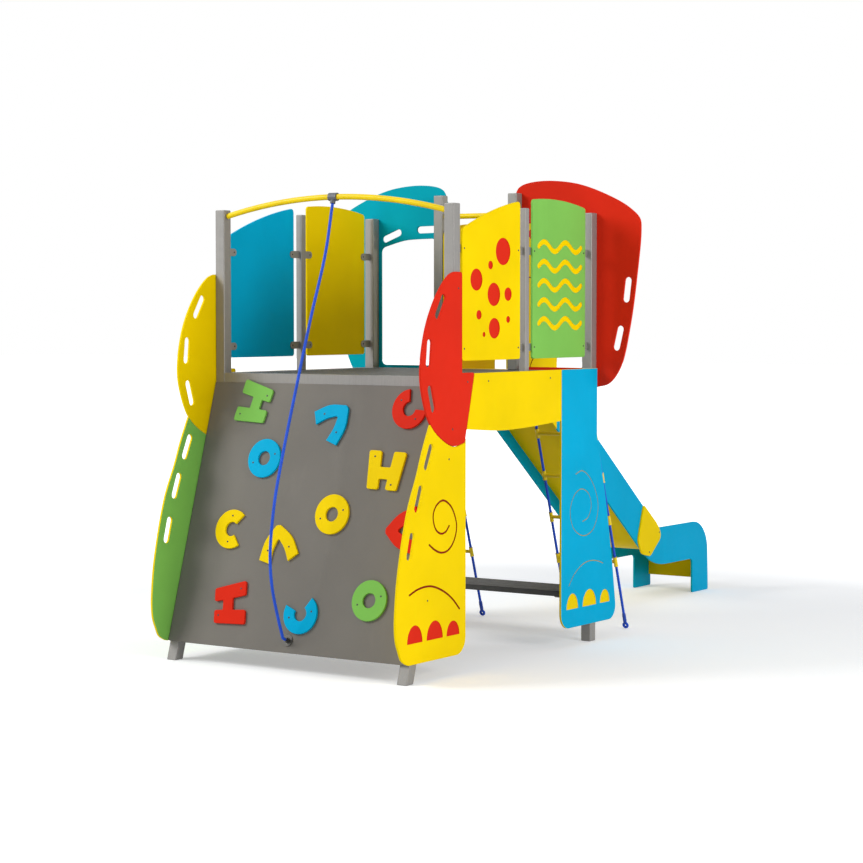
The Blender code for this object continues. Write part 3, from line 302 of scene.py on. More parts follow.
@made_once
def routed_floor(name, colour):
    """The bottom of a routed line or pocket, with the swirls of the cutter."""
    paint = Paint(name, 0.5, specular=0.04)
    rings = paint.node(
        "ShaderNodeTexWave", {"Vector": paint.place(), "Scale": 60.0, "Distortion": 6.0},
        wave_type="RINGS", rings_direction="X",
    ).outputs["Fac"]
    paint.colour(paint.mottle(rings, colour, 0.96, 1.03))
    paint.bump(rings, 0.12, 0.0004)
    return paint.material


@made_once
def coated_steel(name, colour):
    """Galvanised and coated tube: drawn streaks along it, and a faint crystal mottle under the coat."""
    paint = Paint(name, 0.40, metallic=0.30)
    tone = paint.mottle(paint.noise(1.0, 5.0, (210.0, 210.0, 5.0)), colour, 0.975, 1.02)
    spread = paint.span(paint.cells(85.0).outputs["Color"], 0.0, 0.15, 0.2, 0.9)
    paint.colour(paint.blend(spread, tone, shade(colour, 1.10)))
    paint.rough(paint.noise(26.0, 5.0), 0.34, 0.48)
    fine = paint.bump(paint.noise(620.0, 2.0), 0.07, 0.0004)
    paint.bump(paint.noise(1.0, 3.0, (120.0, 120.0, 3.0)), 0.05, 0.0006, fine)
    return paint.material


@made_once
def powder_coat(name, colour):
    """A coloured powder coat on steel tube, with its orange-peel skin."""
    paint = Paint(name, 0.33, specular=0.16)
    paint.give({"Coat Weight": 0.04, "Coat Roughness": 0.2})
    paint.colour(paint.mottle(paint.noise(7.0, 5.0), colour, 0.96, 1.03))
    paint.bump(paint.noise(240.0, 2.0), 0.05, 0.0006)
    return paint.material


@made_once
def film_plywood(name, colour):
    """Phenolic-faced plywood with the pressed mesh of its non-slip side."""
    paint = Paint(name, 0.62)
    mesh = paint.cells(165.0, feature="DISTANCE_TO_EDGE")
    paint.feed(mesh, {"Randomness": 0.12})
    ridge = paint.span(mesh.outputs["Distance"], 1.0, 0.0, 0.02, 0.13)
    worn = paint.span(paint.noise(4.0, 6.0), 0.0, 0.7, 0.45, 0.75)
    tone = paint.blend(worn, colour, shade(colour, 1.10))
    paint.colour(paint.blend(paint.span(ridge, 0.0, 0.5, 0.0, 1.0), tone, shade(colour, 1.16)))
    paint.rough(paint.noise(20.0, 4.0), 0.54, 0.70)
    paint.bump(ridge, 0.5, 0.0007)
    return paint.material


@made_once
def rope_fibre(name, colour):
    """Polypropylene yarns laid slantwise round each strand, with painted shade between the yarns, a little
    sun-faded.
    """
    paint = Paint(name, 0.68)
    paint.give({"Sheen Weight": 0.08, "Sheen Roughness": 0.4})
    along, around = (
        paint.node("ShaderNodeAttribute", attribute_name=kept).outputs["Fac"]
        for kept in ("rope_length", "strand_turn")
    )
    yarns_per_metre = 150.0
    yarn = paint.maths("FRACT", paint.maths("MULTIPLY_ADD", along, yarns_per_metre, around))
    ridge = paint.maths("PINGPONG", yarn, 0.5)
    # Painted shade and highlight: darker in the grooves between the yarns, a little lighter on their crowns
    tone = paint.blend(paint.span(ridge, 0.0, 1.0, 0.0, 0.5), shade(colour, 0.72), shade(colour, 1.05))
    fade = paint.span(paint.noise(14.0, 5.0), 0.0, 0.35, 0.4, 0.8)
    paint.colour(paint.blend(fade, tone, shade(colour, 1.18)))
    paint.bump(ridge, 0.45, 0.0006)
    return paint.material


@made_once
def moulded_plastic(name, colour):
    """Injection-moulded fitting: a soft satin with a fine spark-eroded texture."""
    paint = Paint(name, 0.45)
    paint.colour(paint.mottle(paint.noise(16.0, 4.0), colour, 0.96, 1.04))
    paint.rough(paint.noise(90.0, 3.0), 0.38, 0.52)
    paint.bump(paint.noise(1300.0, 2.0), 0.2, 0.0004)
    return paint.material


@made_once
def bright_steel(name, colour):
    """Stainless fitting, turned and lightly brushed."""
    paint = Paint(name, 0.28, metallic=0.9)
    streak = paint.noise(1.0, 4.0, (600.0, 90.0, 600.0))
    paint.colour(paint.mottle(streak, colour, 0.9, 1.06))
    paint.rough(streak, 0.22, 0.38)
    paint.bump(streak, 0.12, 0.0003)
    return paint.material


# Mesh work


def placed(obj, node=None):
    """The piece rides on the structure, and stands for its node, which it hides."""
    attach(obj, "root")
    if node:
        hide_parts(node)
    return obj


def linked(name, data):
    obj = bpy.data.objects.new(name, data)
    bpy.context.scene.collection.objects.link(obj)
    return obj


def evaluated(obj):
    """The object's shape with its modifiers, as a plain mesh."""
    graph = bpy.context.evaluated_depsgraph_get()
    return bpy.data.meshes.new_from_object(obj.evaluated_get(graph), depsgraph=graph)


def baked(obj, name):
    """Puts a plain mesh object in the place of one with modifiers or of a curve."""
    mesh = evaluated(obj)
    bpy.data.objects.remove(obj)
    mesh.name = name
    return linked(name, mesh)


@contextmanager
def edited(mesh):
    """The mesh opened for changes, which it takes on at the end."""
    shape = bmesh.new()
    shape.from_mesh(mesh)
    yield shape
    shape.to_mesh(mesh)
    shape.free()


def weld(shape, distance=WELD):
    bmesh.ops.remove_doubles(shape, verts=shape.verts, dist=distance)


def solid(name, shape):
    """A finished shape as an object."""
    mesh = bpy.data.meshes.new(name)
    shape.to_mesh(mesh)
    shape.free()
    return linked(name, mesh)


def painted(mesh, *paints):
    """Puts these paints in the place of the mesh's own, the first of them on every face."""
    mesh.materials.clear()
    for paint in paints:
        mesh.materials.append(paint)
    for polygon in mesh.polygons:
        polygon.material_index = 0


def rounded_shading(mesh, degrees):
    mesh.shade_smooth()
    mesh.set_sharp_from_angle(angle=math.radians(degrees))


def evenly_shaded(obj, degrees=35):
    """Even shading over the object's flats and its rounded edges."""
    rounded_shading(obj.data, degrees)
    modifier = obj.modifiers.new("even_shading", "WEIGHTED_NORMAL")
    modifier.keep_sharp = True
    name = obj.name
    obj.name = name + "_raw"
    return baked(obj, name)


def joined_copy(node):
    """A node's mesh with its loose triangles joined and its flats made whole."""
    mesh = frame["nodes"][node].data.copy()
    nearly_flat = math.radians(0.5)
    with edited(mesh) as shape:
        weld(shape)
        bmesh.ops.dissolve_limit(
            shape, angle_limit=nearly_flat, verts=shape.verts, edges=shape.edges, delimit={"NORMAL"}
        )
    if "custom_normal" in mesh.attributes:
        mesh.attributes.remove(mesh.attributes["custom_normal"])
    return mesh


def recoated(node, ending, *paints):
    """The node's shape in these paints, with even shading over its flats and its rounded edges."""
    made = linked(f"{node}_{ending}", joined_copy(node))
    painted(made.data, *paints)
    return placed(evenly_shaded(made, degrees=50), node)


def axes_of(normal):
    """Right and up on a board, for one who looks at the face with this normal."""
    up = WALL_UP if normal == WALL_OUT else Vector((0, 0, 1))
    return up.cross(normal), up


def face_loops(node, normal):
    """The outlines of a board's face, outer edge and holes, and how far its two faces are out."""
    shape = bmesh.new()
    shape.from_mesh(frame["nodes"][node].data)
    weld(shape)
    shape.normal_update()
    u, v = axes_of(normal)
    heights = [vertex.co.dot(normal) for vertex in shape.verts]
    following = {}
    for edge in shape.edges:
        flats = [f for f in edge.link_faces if f.normal.dot(normal) > SQUARE_ON]
        if len(flats) == 1:
            loop = [corner for corner in flats[0].loops if corner.edge == edge][0]
            following[loop.vert] = loop.link_loop_next.vert
    loops = []
    while following:
        start, vertex = next(iter(following.items()))
        loop = [start]
        del following[start]
        while vertex != start:
            loop.append(vertex)
            vertex = following.pop(vertex)
        loops.append([Vector((vertex.co.dot(u), vertex.co.dot(v))) for vertex in loop])
    shape.free()
    return [tidy_loop(loop) for loop in loops], min(heights), max(heights)


def tidy_loop(loop, least=0.0004, straight=0.002):
    """The outline without the points that lie on a straight run or almost on the one before."""
    spaced = [here for i, here in enumerate(loop) if (here - loop[i - 1]).length > least]
    kept = []
    for i, here in enumerate(spaced):
        back, ahead = here - spaced[i - 1], spaced[(i + 1) % len(spaced)] - here
        if back.angle(ahead, 0) > straight:
            kept.append(here)
    return kept


def turning(loop):
    """Twice the area within an outline, above zero when it runs anticlockwise."""
    return sum(a.x * b.y - a.y * b.x for a, b in zip(loop, loop[1:] + loop[:1]))


def drawn_in(loop, distance):
    """An outline moved towards its left by this distance, with no long spike at a sharp corner."""
    blunt = 0.5
    moved = []
    for i, here in enumerate(loop):
        back = (here - loop[i - 1]).normalized()
        ahead = (loop[(i + 1) % len(loop)] - here).normalized()
        both = Vector((-back.y - ahead.y, back.x + ahead.x))
        moved.append(here + both * (distance / max(1 + back.dot(ahead), blunt)))
    return moved


def close_with_flat(shape, ring, upward):
    """Fills the flat between a level's outlines, leaving its holes."""
    corners = [corner for loop in ring for corner in loop]
    owners = [n for n, loop in enumerate(ring) for _ in loop]
    edges = []
    for loop in ring:
        start = len(edges)
        edges += [(start + n, start + (n + 1) % len(loop)) for n in range(len(loop))]
    found = delaunay_2d_cdt([corner.co.to_2d() for corner in corners], edges, [], 1, 1e-7)
    for triangle in found[2]:
        i, j, k = (found[3][n][0] for n in triangle)
        onward = i < j < k or j < k < i or k < i < j
        if onward or not owners[i] == owners[j] == owners[k]:
            a, b, c = corners[i], corners[j], corners[k]
            shape.faces.new((a, b, c) if upward else (a, c, b))


def band(shape, above, below):
    """Faces between two rings of corners."""
    for n in range(len(above)):
        m = (n + 1) % len(above)
        shape.faces.new((above[m], above[n], below[n], below[m]))


def plate(name, loops, thickness, place, edge=0.0, rounds=3):
    """A flat solid from outlines that keep their material on the left, with its edges rounded."""
    profile = [(0.0, thickness / 2)]
    if edge:
        turns = [math.pi / 2 * n / rounds for n in range(rounds + 1)]
        profile = [(edge * (1 - math.sin(t)), thickness / 2 - edge * (1 - math.cos(t))) for t in turns]
    levels = profile + [(shrink, -height) for shrink, height in reversed(profile)]
    shape = bmesh.new()
    rings = [
        [[shape.verts.new((p.x, p.y, height)) for p in drawn_in(loop, shrink)] for loop in loops]
        for shrink, height in levels
    ]
    for high, low in zip(rings, rings[1:]):
        for above, below in zip(high, low):
            band(shape, above, below)
    close_with_flat(shape, rings[0], upward=True)
    close_with_flat(shape, rings[-1], upward=False)
    shape.transform(place)
    return solid(name, shape)


def drawing_plane(normal, out):
    """The matrix that lays a drawing on the plane this far out along the normal."""
    u, v = axes_of(normal)
    turned = Matrix((u, v, u.cross(v))).transposed().to_4x4()
    turned.translation = normal * out
    return turned


def saw_off(mesh, top):
    """Takes off what stands above this height, and closes the cut."""
    with edited(mesh) as shape:
        cut = bmesh.ops.bisect_plane(
            shape, geom=[*shape.verts, *shape.edges, *shape.faces],
            plane_co=(0, 0, top), plane_no=(0, 0, 1), clear_outer=True,
        )
        rim = [part for part in cut["geom_cut"] if isinstance(part, bmesh.types.BMEdge)]
        bmesh.ops.edgeloop_fill(shape, edges=rim)
        bmesh.ops.recalc_face_normals(shape, faces=shape.faces)


def two_tone(mesh, normal, face, rim):
    """The face colour on a board's two flats, and the core colour round its edge."""
    painted(mesh, face, rim)
    for polygon in mesh.polygons:
        polygon.material_index = int(abs(polygon.normal.dot(normal)) <= FLAT_FACE)


def joined(objects):
    """The objects as one, each with its own paint."""
    first = objects[0]
    with bpy.context.temp_override(active_object=first, selected_editable_objects=objects):
        bpy.ops.object.join()
    return first


def engraved(board, cutter):
    """The board with the cutter taken out; the cut keeps the cutter's paint."""
    modifier = board.modifiers.new("routing", "BOOLEAN")
    modifier.operation = "DIFFERENCE"
    modifier.solver = "EXACT"
    modifier.material_mode = "TRANSFER"
    modifier.object = cutter
    name = board.name
    board.name = name + "_blank"
    made = baked(board, name)
    bpy.data.objects.remove(cutter)
    return made


def board(node, normal, colour, rim=None, cuts=(), depth=None, edge=None, top=None):
    """A sheet board in the place of its node: soft edges, its core colour round it, and its routing."""
    loops, low, high = face_loops(node, normal)
    loops = [tidy_loop(finer(loop)) for loop in loops]
    edge = edge or sizes().board_edge
    made = plate(node + "_sheet", loops, high - low, drawing_plane(normal, (low + high) / 2), edge)
    if top is not None:
        saw_off(made.data, top)
    two_tone(made.data, normal, sheet(colour), core(rim) if rim else sheet(colour))
    across = drawing_plane(normal, 0).inverted()
    clear = 0.004  # how far the cutter stands out of the face
    tools = []
    for drawing, cut_paint in cuts:
        lines = [[(across @ at(0, *point)).to_2d() for point in line] for line in drawing]
        lines = [line if turning(line) > 0 else line[::-1] for line in lines]
        upper, lower = high + clear, high - (depth or sizes().routing_depth)
        tool = plate("routing_tool", lines, upper - lower, drawing_plane(normal, (upper + lower) / 2))
        tool.data.materials.append(cut_paint)
        tools.append(tool)
    if tools:
        made = engraved(made, joined(tools))
    return placed(evenly_shaded(made), node)


# Routed drawings, in (Y, Z)


def disc(y, z, radius):
    return [Vector((y + radius * c, z + radius * s)) for c, s in arc(40)[:-1]]


def stroke(points, width, steps=8):
    """The outline of a round-ended line of this width through the points."""
    path = [p.to_2d() for p in smooth([(*p, 0) for p in points], steps)]
    normals = []
    for i in range(len(path)):
        run = path[min(i + 1, len(path) - 1)] - path[max(i - 1, 0)]
        normals.append(Vector((-run.y, run.x)).normalized())
    half = width / 2
    left = [p + n * half for p, n in zip(path, normals)]
    right = [p - n * half for p, n in zip(path, normals)]

    def cap(middle, normal):
        start = math.atan2(normal.y, normal.x)
        return [middle + Vector(way) * half for way in arc(6, start, -math.pi)[1:-1]]

    return left + cap(path[-1], normals[-1]) + right[::-1] + cap(path[0], -normals[0])


def toe(y0, y1, top, base):
    """A nail: flat below and a tall arch above."""
    middle, half = (y0 + y1) / 2, (y1 - y0) / 2
    return [Vector((middle + half * c, base + (top - base) * s)) for c, s in arc(16, 0.0, math.pi)]


def leg_drawing(line, spiral, knee, base, nails):
    """The lines of a leg, and its nails as pockets that stand on one level."""
    return [stroke(spiral, line), stroke(knee, line)], [toe(*nail, base) for nail in nails]


def front_leg_drawing(line):
    spiral = (
        (-0.268, 0.678), (-0.221, 0.650), (-0.165, 0.631), (-0.110, 0.634), (-0.068, 0.657),
        (-0.034, 0.702), (-0.022, 0.753), (-0.039, 0.807), (-0.076, 0.857), (-0.144, 0.890),
        (-0.204, 0.869), (-0.233, 0.825), (-0.226, 0.777), (-0.200, 0.741), (-0.158, 0.725),
        (-0.119, 0.733), (-0.090, 0.759),
    )
    knee = (
        (-0.442, 0.446), (-0.365, 0.468), (-0.255, 0.472), (-0.144, 0.437), (-0.059, 0.388),
        (0.004, 0.333),
    )
    nails = ((-0.462, -0.328, 0.294), (-0.291, -0.147, 0.298), (-0.113, 0.004, 0.279))
    return leg_drawing(line, spiral, knee, 0.205, nails)


def rear_leg_drawing(line):
    spiral = (
        (1.164, 0.943), (1.239, 0.957), (1.345, 0.890), (1.412, 0.751), (1.360, 0.630),
        (1.252, 0.599), (1.140, 0.650), (1.106, 0.744), (1.150, 0.828), (1.231, 0.858),
        (1.310, 0.822), (1.335, 0.756), (1.300, 0.697), (1.241, 0.678),
    )
    knee = (
        (1.093, 0.336), (1.145, 0.390), (1.196, 0.422), (1.247, 0.443), (1.299, 0.453), (1.360, 0.453),
        (1.416, 0.444), (1.469, 0.428),
    )
    nails = ((1.070, 1.194, 0.292), (1.244, 1.392, 0.298), (1.436, 1.543, 0.280))
    return leg_drawing(line, spiral, knee, 0.207, nails)


def spots_drawing():
    spots = (
        (0.458, 2.138, 0.0705), (0.337, 2.066, 0.022), (0.203, 1.990, 0.0560), (0.369, 1.916, 0.060),
        (0.507, 1.918, 0.035), (0.227, 1.811, 0.024), (0.508, 1.787, 0.018), (0.374, 1.742, 0.053),
        (0.275, 1.711, 0.013),
    )
    return [disc(*spot) for spot in spots]


def waves_drawing(width=0.028):
    """Five waves of two crests each, round at their ends."""
    start, length, rise, steps = 0.815, 0.444, 0.025, 16
    waves = []
    for z in (2.174, 2.070, 1.968, 1.866, 1.765):
        shares = [n / steps for n in range(steps + 1)]
        crests = [(start + length * t, z + rise * math.sin(2 * math.tau * t)) for t in shares]
        waves.append(stroke(crests, width, 4))
    return waves


def eye_drawing(line):
    brow = ((1.505, 2.306), (1.561, 2.3386), (1.625, 2.345), (1.685, 2.322))
    cheek = ((1.520, 2.050), (1.600, 2.022), (1.690, 2.040), (1.770, 2.095))
    jaw = ((1.596, 1.506), (1.608, 1.530), (1.630, 1.556), (1.662, 1.576))
    return [stroke(brow, line), stroke(cheek, line), stroke(jaw, line)], [disc(1.615, 2.270, 0.031)]


# Geometry node trees


class Tree(Nodes):
    """A geometry node tree being made, with its named inputs."""

    def __init__(self, name, inputs):
        super().__init__(bpy.data.node_groups.new(name, "GeometryNodeTree"))
        face = self.net.interface
        for way in ("INPUT", "OUTPUT"):
            face.new_socket("Geometry", in_out=way, socket_type="NodeSocketGeometry")
        self.ids = {}
        for label, kind, default in inputs:
            item = face.new_socket(label, in_out="INPUT", socket_type="NodeSocket" + kind)
            if default is not None:
                item.default_value = default
            self.ids[label] = item.identifier
        self.start = self.node("NodeGroupInput")
        self.end = self.node("NodeGroupOutput")

    def given(self, *labels):
        """What comes in under these names."""
        found = [self.start.outputs[label] for label in labels]
        return found if len(found) > 1 else found[0]

    def add(self, kind, inputs=(), **settings):
        """The first output of a new geometry node."""
        return self.node("GeometryNode" + kind, inputs, **settings).outputs[0]

    def stored(self, geometry, name, value):
        """Keeps a number for each point under this name."""
        inputs = {"Geometry": geometry, "Name": name, "Value": value}
        return self.add("StoreNamedAttribute", inputs, data_type="FLOAT", domain="POINT")

    def cylinder(self, radius, depth, sides):
        return self.add("MeshCylinder", {"Radius": radius, "Depth": depth, "Vertices": sides})

    def swept(self, curve, profile):
        return self.add("CurveToMesh", {"Curve": curve, "Profile Curve": profile, "Fill Caps": True})

    def on_points(self, instance, heading):
        """The instance on each point that comes in, with its Z axis along the heading."""
        turned = self.node("FunctionNodeAlignRotationToVector", {"Vector": heading}, axis="Z").outputs[0]
        inputs = {"Points": self.given("Geometry"), "Instance": instance, "Rotation": turned}
        return self.add("InstanceOnPoints", inputs)

    def vector(self, *values):
        return self.node("ShaderNodeCombineXYZ", dict(enumerate(values))).outputs[0]

    def lifted(self, geometry, height):
        return self.add("Transform", {"Geometry": geometry, "Translation": self.vector(0.0, 0.0, height)})

    def painted(self, geometry, material):
        return self.add("SetMaterial", {"Geometry": geometry, "Material": self.given(material)})

    def merged(self, *parts):
        made = self.node("GeometryNodeJoinGeometry")
        for part in parts:
            self.feed(made, {0: part})
        return made.outputs[0]

    def finish(self, geometry, *materials):
        """Ends the tree in real geometry with its material."""
        last = self.add("RealizeInstances", {"Geometry": geometry})
        for material in materials:
            last = self.painted(last, material)
        self.feed(self.end, {0: last})
        return self


def grown_by(tree, name, data, values):
    """What the tree makes of a mesh or curve, as a plain mesh object."""
    source = linked(name + "_guide", data)
    modifier = source.modifiers.new(tree.net.name, "NODES")
    modifier.node_group = tree.net
    for label, value in values.items():
        modifier[tree.ids[label]] = value
    made = baked(source, name)
    if not made.data.polygons:
        raise RuntimeError(f"{name}: its tree made nothing")
    return made


def rope_tree():
    """A laid rope: a bundle of round strands, drawn as its lobed outline, that twists along a curve."""
    tree = Tree("laid_rope", (
        ("Diameter", "Float", 0.016),
        ("Lay length", "Float", 0.11),
        ("Strands", "Int", 6),
        ("Strand share", "Float", 0.40),
        ("Sample step", "Float", 0.004),
        ("Rope", "Material", None),
    ))
    guide, step_length, strand = tree.given("Geometry", "Sample step", "Strand share")
    fine = tree.add("ResampleCurve", {"Curve": guide, "Length": step_length}, mode="LENGTH")
    length = tree.node("GeometryNodeSplineParameter").outputs["Length"]
    turns = tree.maths("DIVIDE", length, tree.given("Lay length"))
    tilted = tree.add("SetCurveTilt", {"Curve": fine, "Tilt": tree.maths("MULTIPLY", turns, math.tau)})
    middle_line = tree.stored(tilted, "rope_length", length)

    per_strand = 7.0
    points = tree.maths("MULTIPLY", tree.given("Strands"), per_strand)
    radius = tree.maths("DIVIDE", tree.given("Diameter"), 2.0)
    circle = tree.add("CurvePrimitiveCircle", {"Resolution": points, "Radius": radius})
    step = tree.maths("MODULO", tree.add("InputIndex"), per_strand)
    middle = tree.maths("SUBTRACT", step, (per_strand - 1) / 2)
    angle = tree.maths("DIVIDE", tree.maths("MULTIPLY", middle, math.tau), points)
    ring = tree.maths("SUBTRACT", 1.0, strand)
    side = tree.maths("MULTIPLY", ring, tree.maths("SINE", angle))
    squares = [tree.maths("MULTIPLY", value, value) for value in (strand, side)]
    rest = tree.maths("SQRT", tree.maths("SUBTRACT", *squares))
    reach = tree.maths("ADD", tree.maths("MULTIPLY", ring, tree.maths("COSINE", angle)), rest)
    lobes = {"Vector": tree.add("InputPosition"), "Scale": reach}
    lobed = tree.node("ShaderNodeVectorMath", lobes, operation="SCALE").outputs[0]
    profile = tree.add("SetPosition", {"Geometry": circle, "Position": lobed})
    turn_per_step = 0.35
    marked = tree.stored(profile, "strand_turn", tree.maths("MULTIPLY", step, turn_per_step))
    return tree.finish(tree.swept(middle_line, marked), "Rope")


def fixing_tree():
    """Domed bolt heads with a hexagon socket, one on each point, turned to the point's heading; the socket
    is a dark hexagon set into the dome's top, painted shade in the place of a recess.
    """
    tree = Tree("domed_fixings", (
        ("Head radius", "Float", 0.0055),
        ("Head height", "Float", 0.003),
        ("Socket share", "Float", 0.46),
        ("Head", "Material", None),
        ("Socket", "Material", None),
    ))
    radius, height, share = tree.given("Head radius", "Head height", "Socket share")
    half = tree.maths("MULTIPLY", height, 0.5)
    ball = tree.add("MeshUVSphere", {"Segments": 20, "Rings": 12, "Radius": 1.0})
    dome = tree.add("Transform", {"Geometry": ball, "Scale": tree.vector(radius, radius, height)})
    collar = tree.cylinder(tree.maths("MULTIPLY", radius, 1.18), half, 20)
    head = tree.merged(tree.add("SetShadeSmooth", {"Geometry": dome}), collar)
    hexagon = tree.cylinder(tree.maths("MULTIPLY", radius, share), half, 6)
    socket = tree.lifted(hexagon, tree.maths("MULTIPLY", height, 0.77))
    bolt = tree.merged(tree.painted(head, "Head"), tree.painted(socket, "Socket"))
    heading = tree.add("InputNamedAttribute", {"Name": "heading"}, data_type="FLOAT_VECTOR")
    return tree.finish(tree.on_points(bolt, heading))


def rung_tree():
    """A round rung between two points, with a ribbed sleeve along each rope."""
    tree = Tree("ladder_rung", (
        ("Rung radius", "Float", 0.0105),
        ("Sleeve radius", "Float", 0.0112),
        ("Sleeve length", "Float", 0.056),
        ("Rib", "Float", 0.0012),
        ("Rope heading", "Vector", (0.0, 0.3, -0.95)),
        ("Plastic", "Material", None),
    ))
    radius, length, rib = tree.given("Sleeve radius", "Sleeve length", "Rib")
    line = tree.add("MeshToCurve", {"Mesh": tree.given("Geometry")})
    ring = tree.add("CurvePrimitiveCircle", {"Radius": tree.given("Rung radius"), "Resolution": 24})
    collar = tree.cylinder(tree.maths("ADD", radius, rib), tree.maths("MULTIPLY", rib, 3.0), 28)
    inset = tree.maths("SUBTRACT", tree.maths("MULTIPLY", length, 0.5), tree.maths("MULTIPLY", rib, 1.5))
    ends = [tree.lifted(collar, tree.maths("MULTIPLY", inset, side)) for side in (1.0, -1.0)]
    sleeve = tree.merged(tree.cylinder(radius, length, 28), *ends)
    sleeves = tree.on_points(sleeve, tree.given("Rope heading"))
    return tree.finish(tree.merged(tree.swept(line, ring), sleeves), "Plastic")


def points_mesh(name, places, headings=(), edges=()):
    """A mesh of loose points, with the way that each one looks."""
    mesh = bpy.data.meshes.new(name)
    mesh.from_pydata([tuple(p) for p in places], list(edges), [])
    if headings:
        mesh.attributes.new("heading", "FLOAT_VECTOR", "POINT")
        for item, way in zip(mesh.attributes["heading"].data, headings):
            item.vector = tuple(way)
    return mesh


def poly_curve(name, points, cyclic=False):
    curve = bpy.data.curves.new(name, "CURVE")
    curve.dimensions = "3D"
    spline = curve.splines.new("POLY")
    spline.points.add(len(points) - 1)
    for item, point in zip(spline.points, points):
        item.co = (*point, 1)
    spline.use_cyclic_u = cyclic
    return curve


def laid(tree, name, points, values, cyclic=False):
    """A piece of rope along these points."""
    made = grown_by(tree, name, poly_curve(name, points, cyclic), values)
    rounded_shading(made.data, degrees=60)
    return made


# Settings


def size_property(label, words, value, low, high):
    return bpy.props.FloatProperty(
        name=label, description=words, default=value, min=low, max=high, unit="LENGTH"
    )


class StructureSizes(bpy.types.PropertyGroup):
    """Sizes of the finish that a user may change."""

    board_edge: size_property(
        "Board edge radius", "How far the edges of the sheet boards are rounded", 0.002, 0.0005, 0.004
    )
    routing_depth: size_property(
        "Routing depth", "How deep the drawings are cut into the boards", 0.0032, 0.001, 0.005
    )
    routing_line: size_property(
        "Routed line width", "The width of the thin routed lines on legs and head", 0.0074, 0.003, 0.015
    )
    rope_diameter: size_property("Rope diameter", "The diameter of every rope", 0.016, 0.012, 0.022)
    rope_lay: size_property(
        "Rope lay length", "The length in which a strand goes once round its rope", 0.11, 0.05, 0.25
    )
    fixing_radius: size_property(
        "Bolt head radius", "The radius of the domed bolt heads in the boards", 0.0042, 0.003, 0.012
    )
    rung_radius: size_property("Rung radius", "The radius of the ladder rungs", 0.0105, 0.008, 0.015)


def colour_property(label, words, value):
    return bpy.props.FloatVectorProperty(
        name=label, description=words, default=value, size=3, min=0.0, max=1.0, subtype="COLOR_GAMMA"
    )


class StructureColours(bpy.types.PropertyGroup):
    """Colours of the boards, steel and ropes, as display values."""

    yellow: colour_property("Yellow", "The yellow boards, grips and slide bed", (0.976, 0.839, 0.0))
    red: colour_property("Red", "The red boards, grips and routed drawings", (0.871, 0.173, 0.094))
    blue: colour_property("Blue", "A leg, a barrier, the slide's sides and some grips", (0.0, 0.682, 0.859))
    teal: colour_property("Teal", "The left ear and the core of the slide's sides", (0.0, 0.655, 0.735))
    green: colour_property("Green", "A leg, a barrier and some grips", (0.502, 0.761, 0.345))
    wall_grey: colour_property("Wall grey", "The climbing wall", (0.490, 0.474, 0.447))
    post_grey: colour_property("Post grey", "Posts and deck frame", (0.555, 0.545, 0.53))
    deck_grey: colour_property("Deck grey", "Deck plate and seat board", (0.27, 0.27, 0.26))
    rope_blue: colour_property("Rope blue", "The climbing rope and the ladder ropes", (0.01, 0.325, 0.88))


def sizes():
    return bpy.context.scene.structure_sizes


def chosen(name):
    """The display values of a colour setting."""
    return tuple(getattr(bpy.context.scene.structure_colours, name))


def sheet(name):
    return sheet_plastic(name + "_sheet", chosen(name))


def core(name):
    return sawn_edge(name + "_core", chosen(name))


def routed(name, amount=1.0):
    # A line's floor takes a darker copy of the colour: painted shade for its narrow groove
    kind = "routing" if amount == 1.0 else "line"
    return routed_floor(f"{name}_{kind}", shade(chosen(name), amount))


# Painted shade: how much darker the floor of a thin routed line is painted than a wide pocket of its
# colour, for the shadow in its narrow groove
LINE_PAINTED_SHADE = {"red": 0.65, "yellow": 0.78}


def lines_and_pockets(drawing, name):
    """The two parts of a drawing with their paints, the lines' floors in a darker copy of the colour as
    painted shade.
    """
    lines, pockets = drawing
    return [(lines, routed(name, LINE_PAINTED_SHADE[name])), (pockets, routed(name))]


# Operators

# The camera, fitted to corners of posts, beams and slide in the photograph
CAMERA_SWING, CAMERA_DIP = math.radians(33.83756), math.radians(3.02976)
CAMERA_PLACE = at(6.96232, -9.47415, 1.825573)
SENSOR = 36
FOCAL_LENGTH = SENSOR * 2257.917 / 863  # in pixels of the photograph, over its width

WHITE = (1, 1, 1, 1)


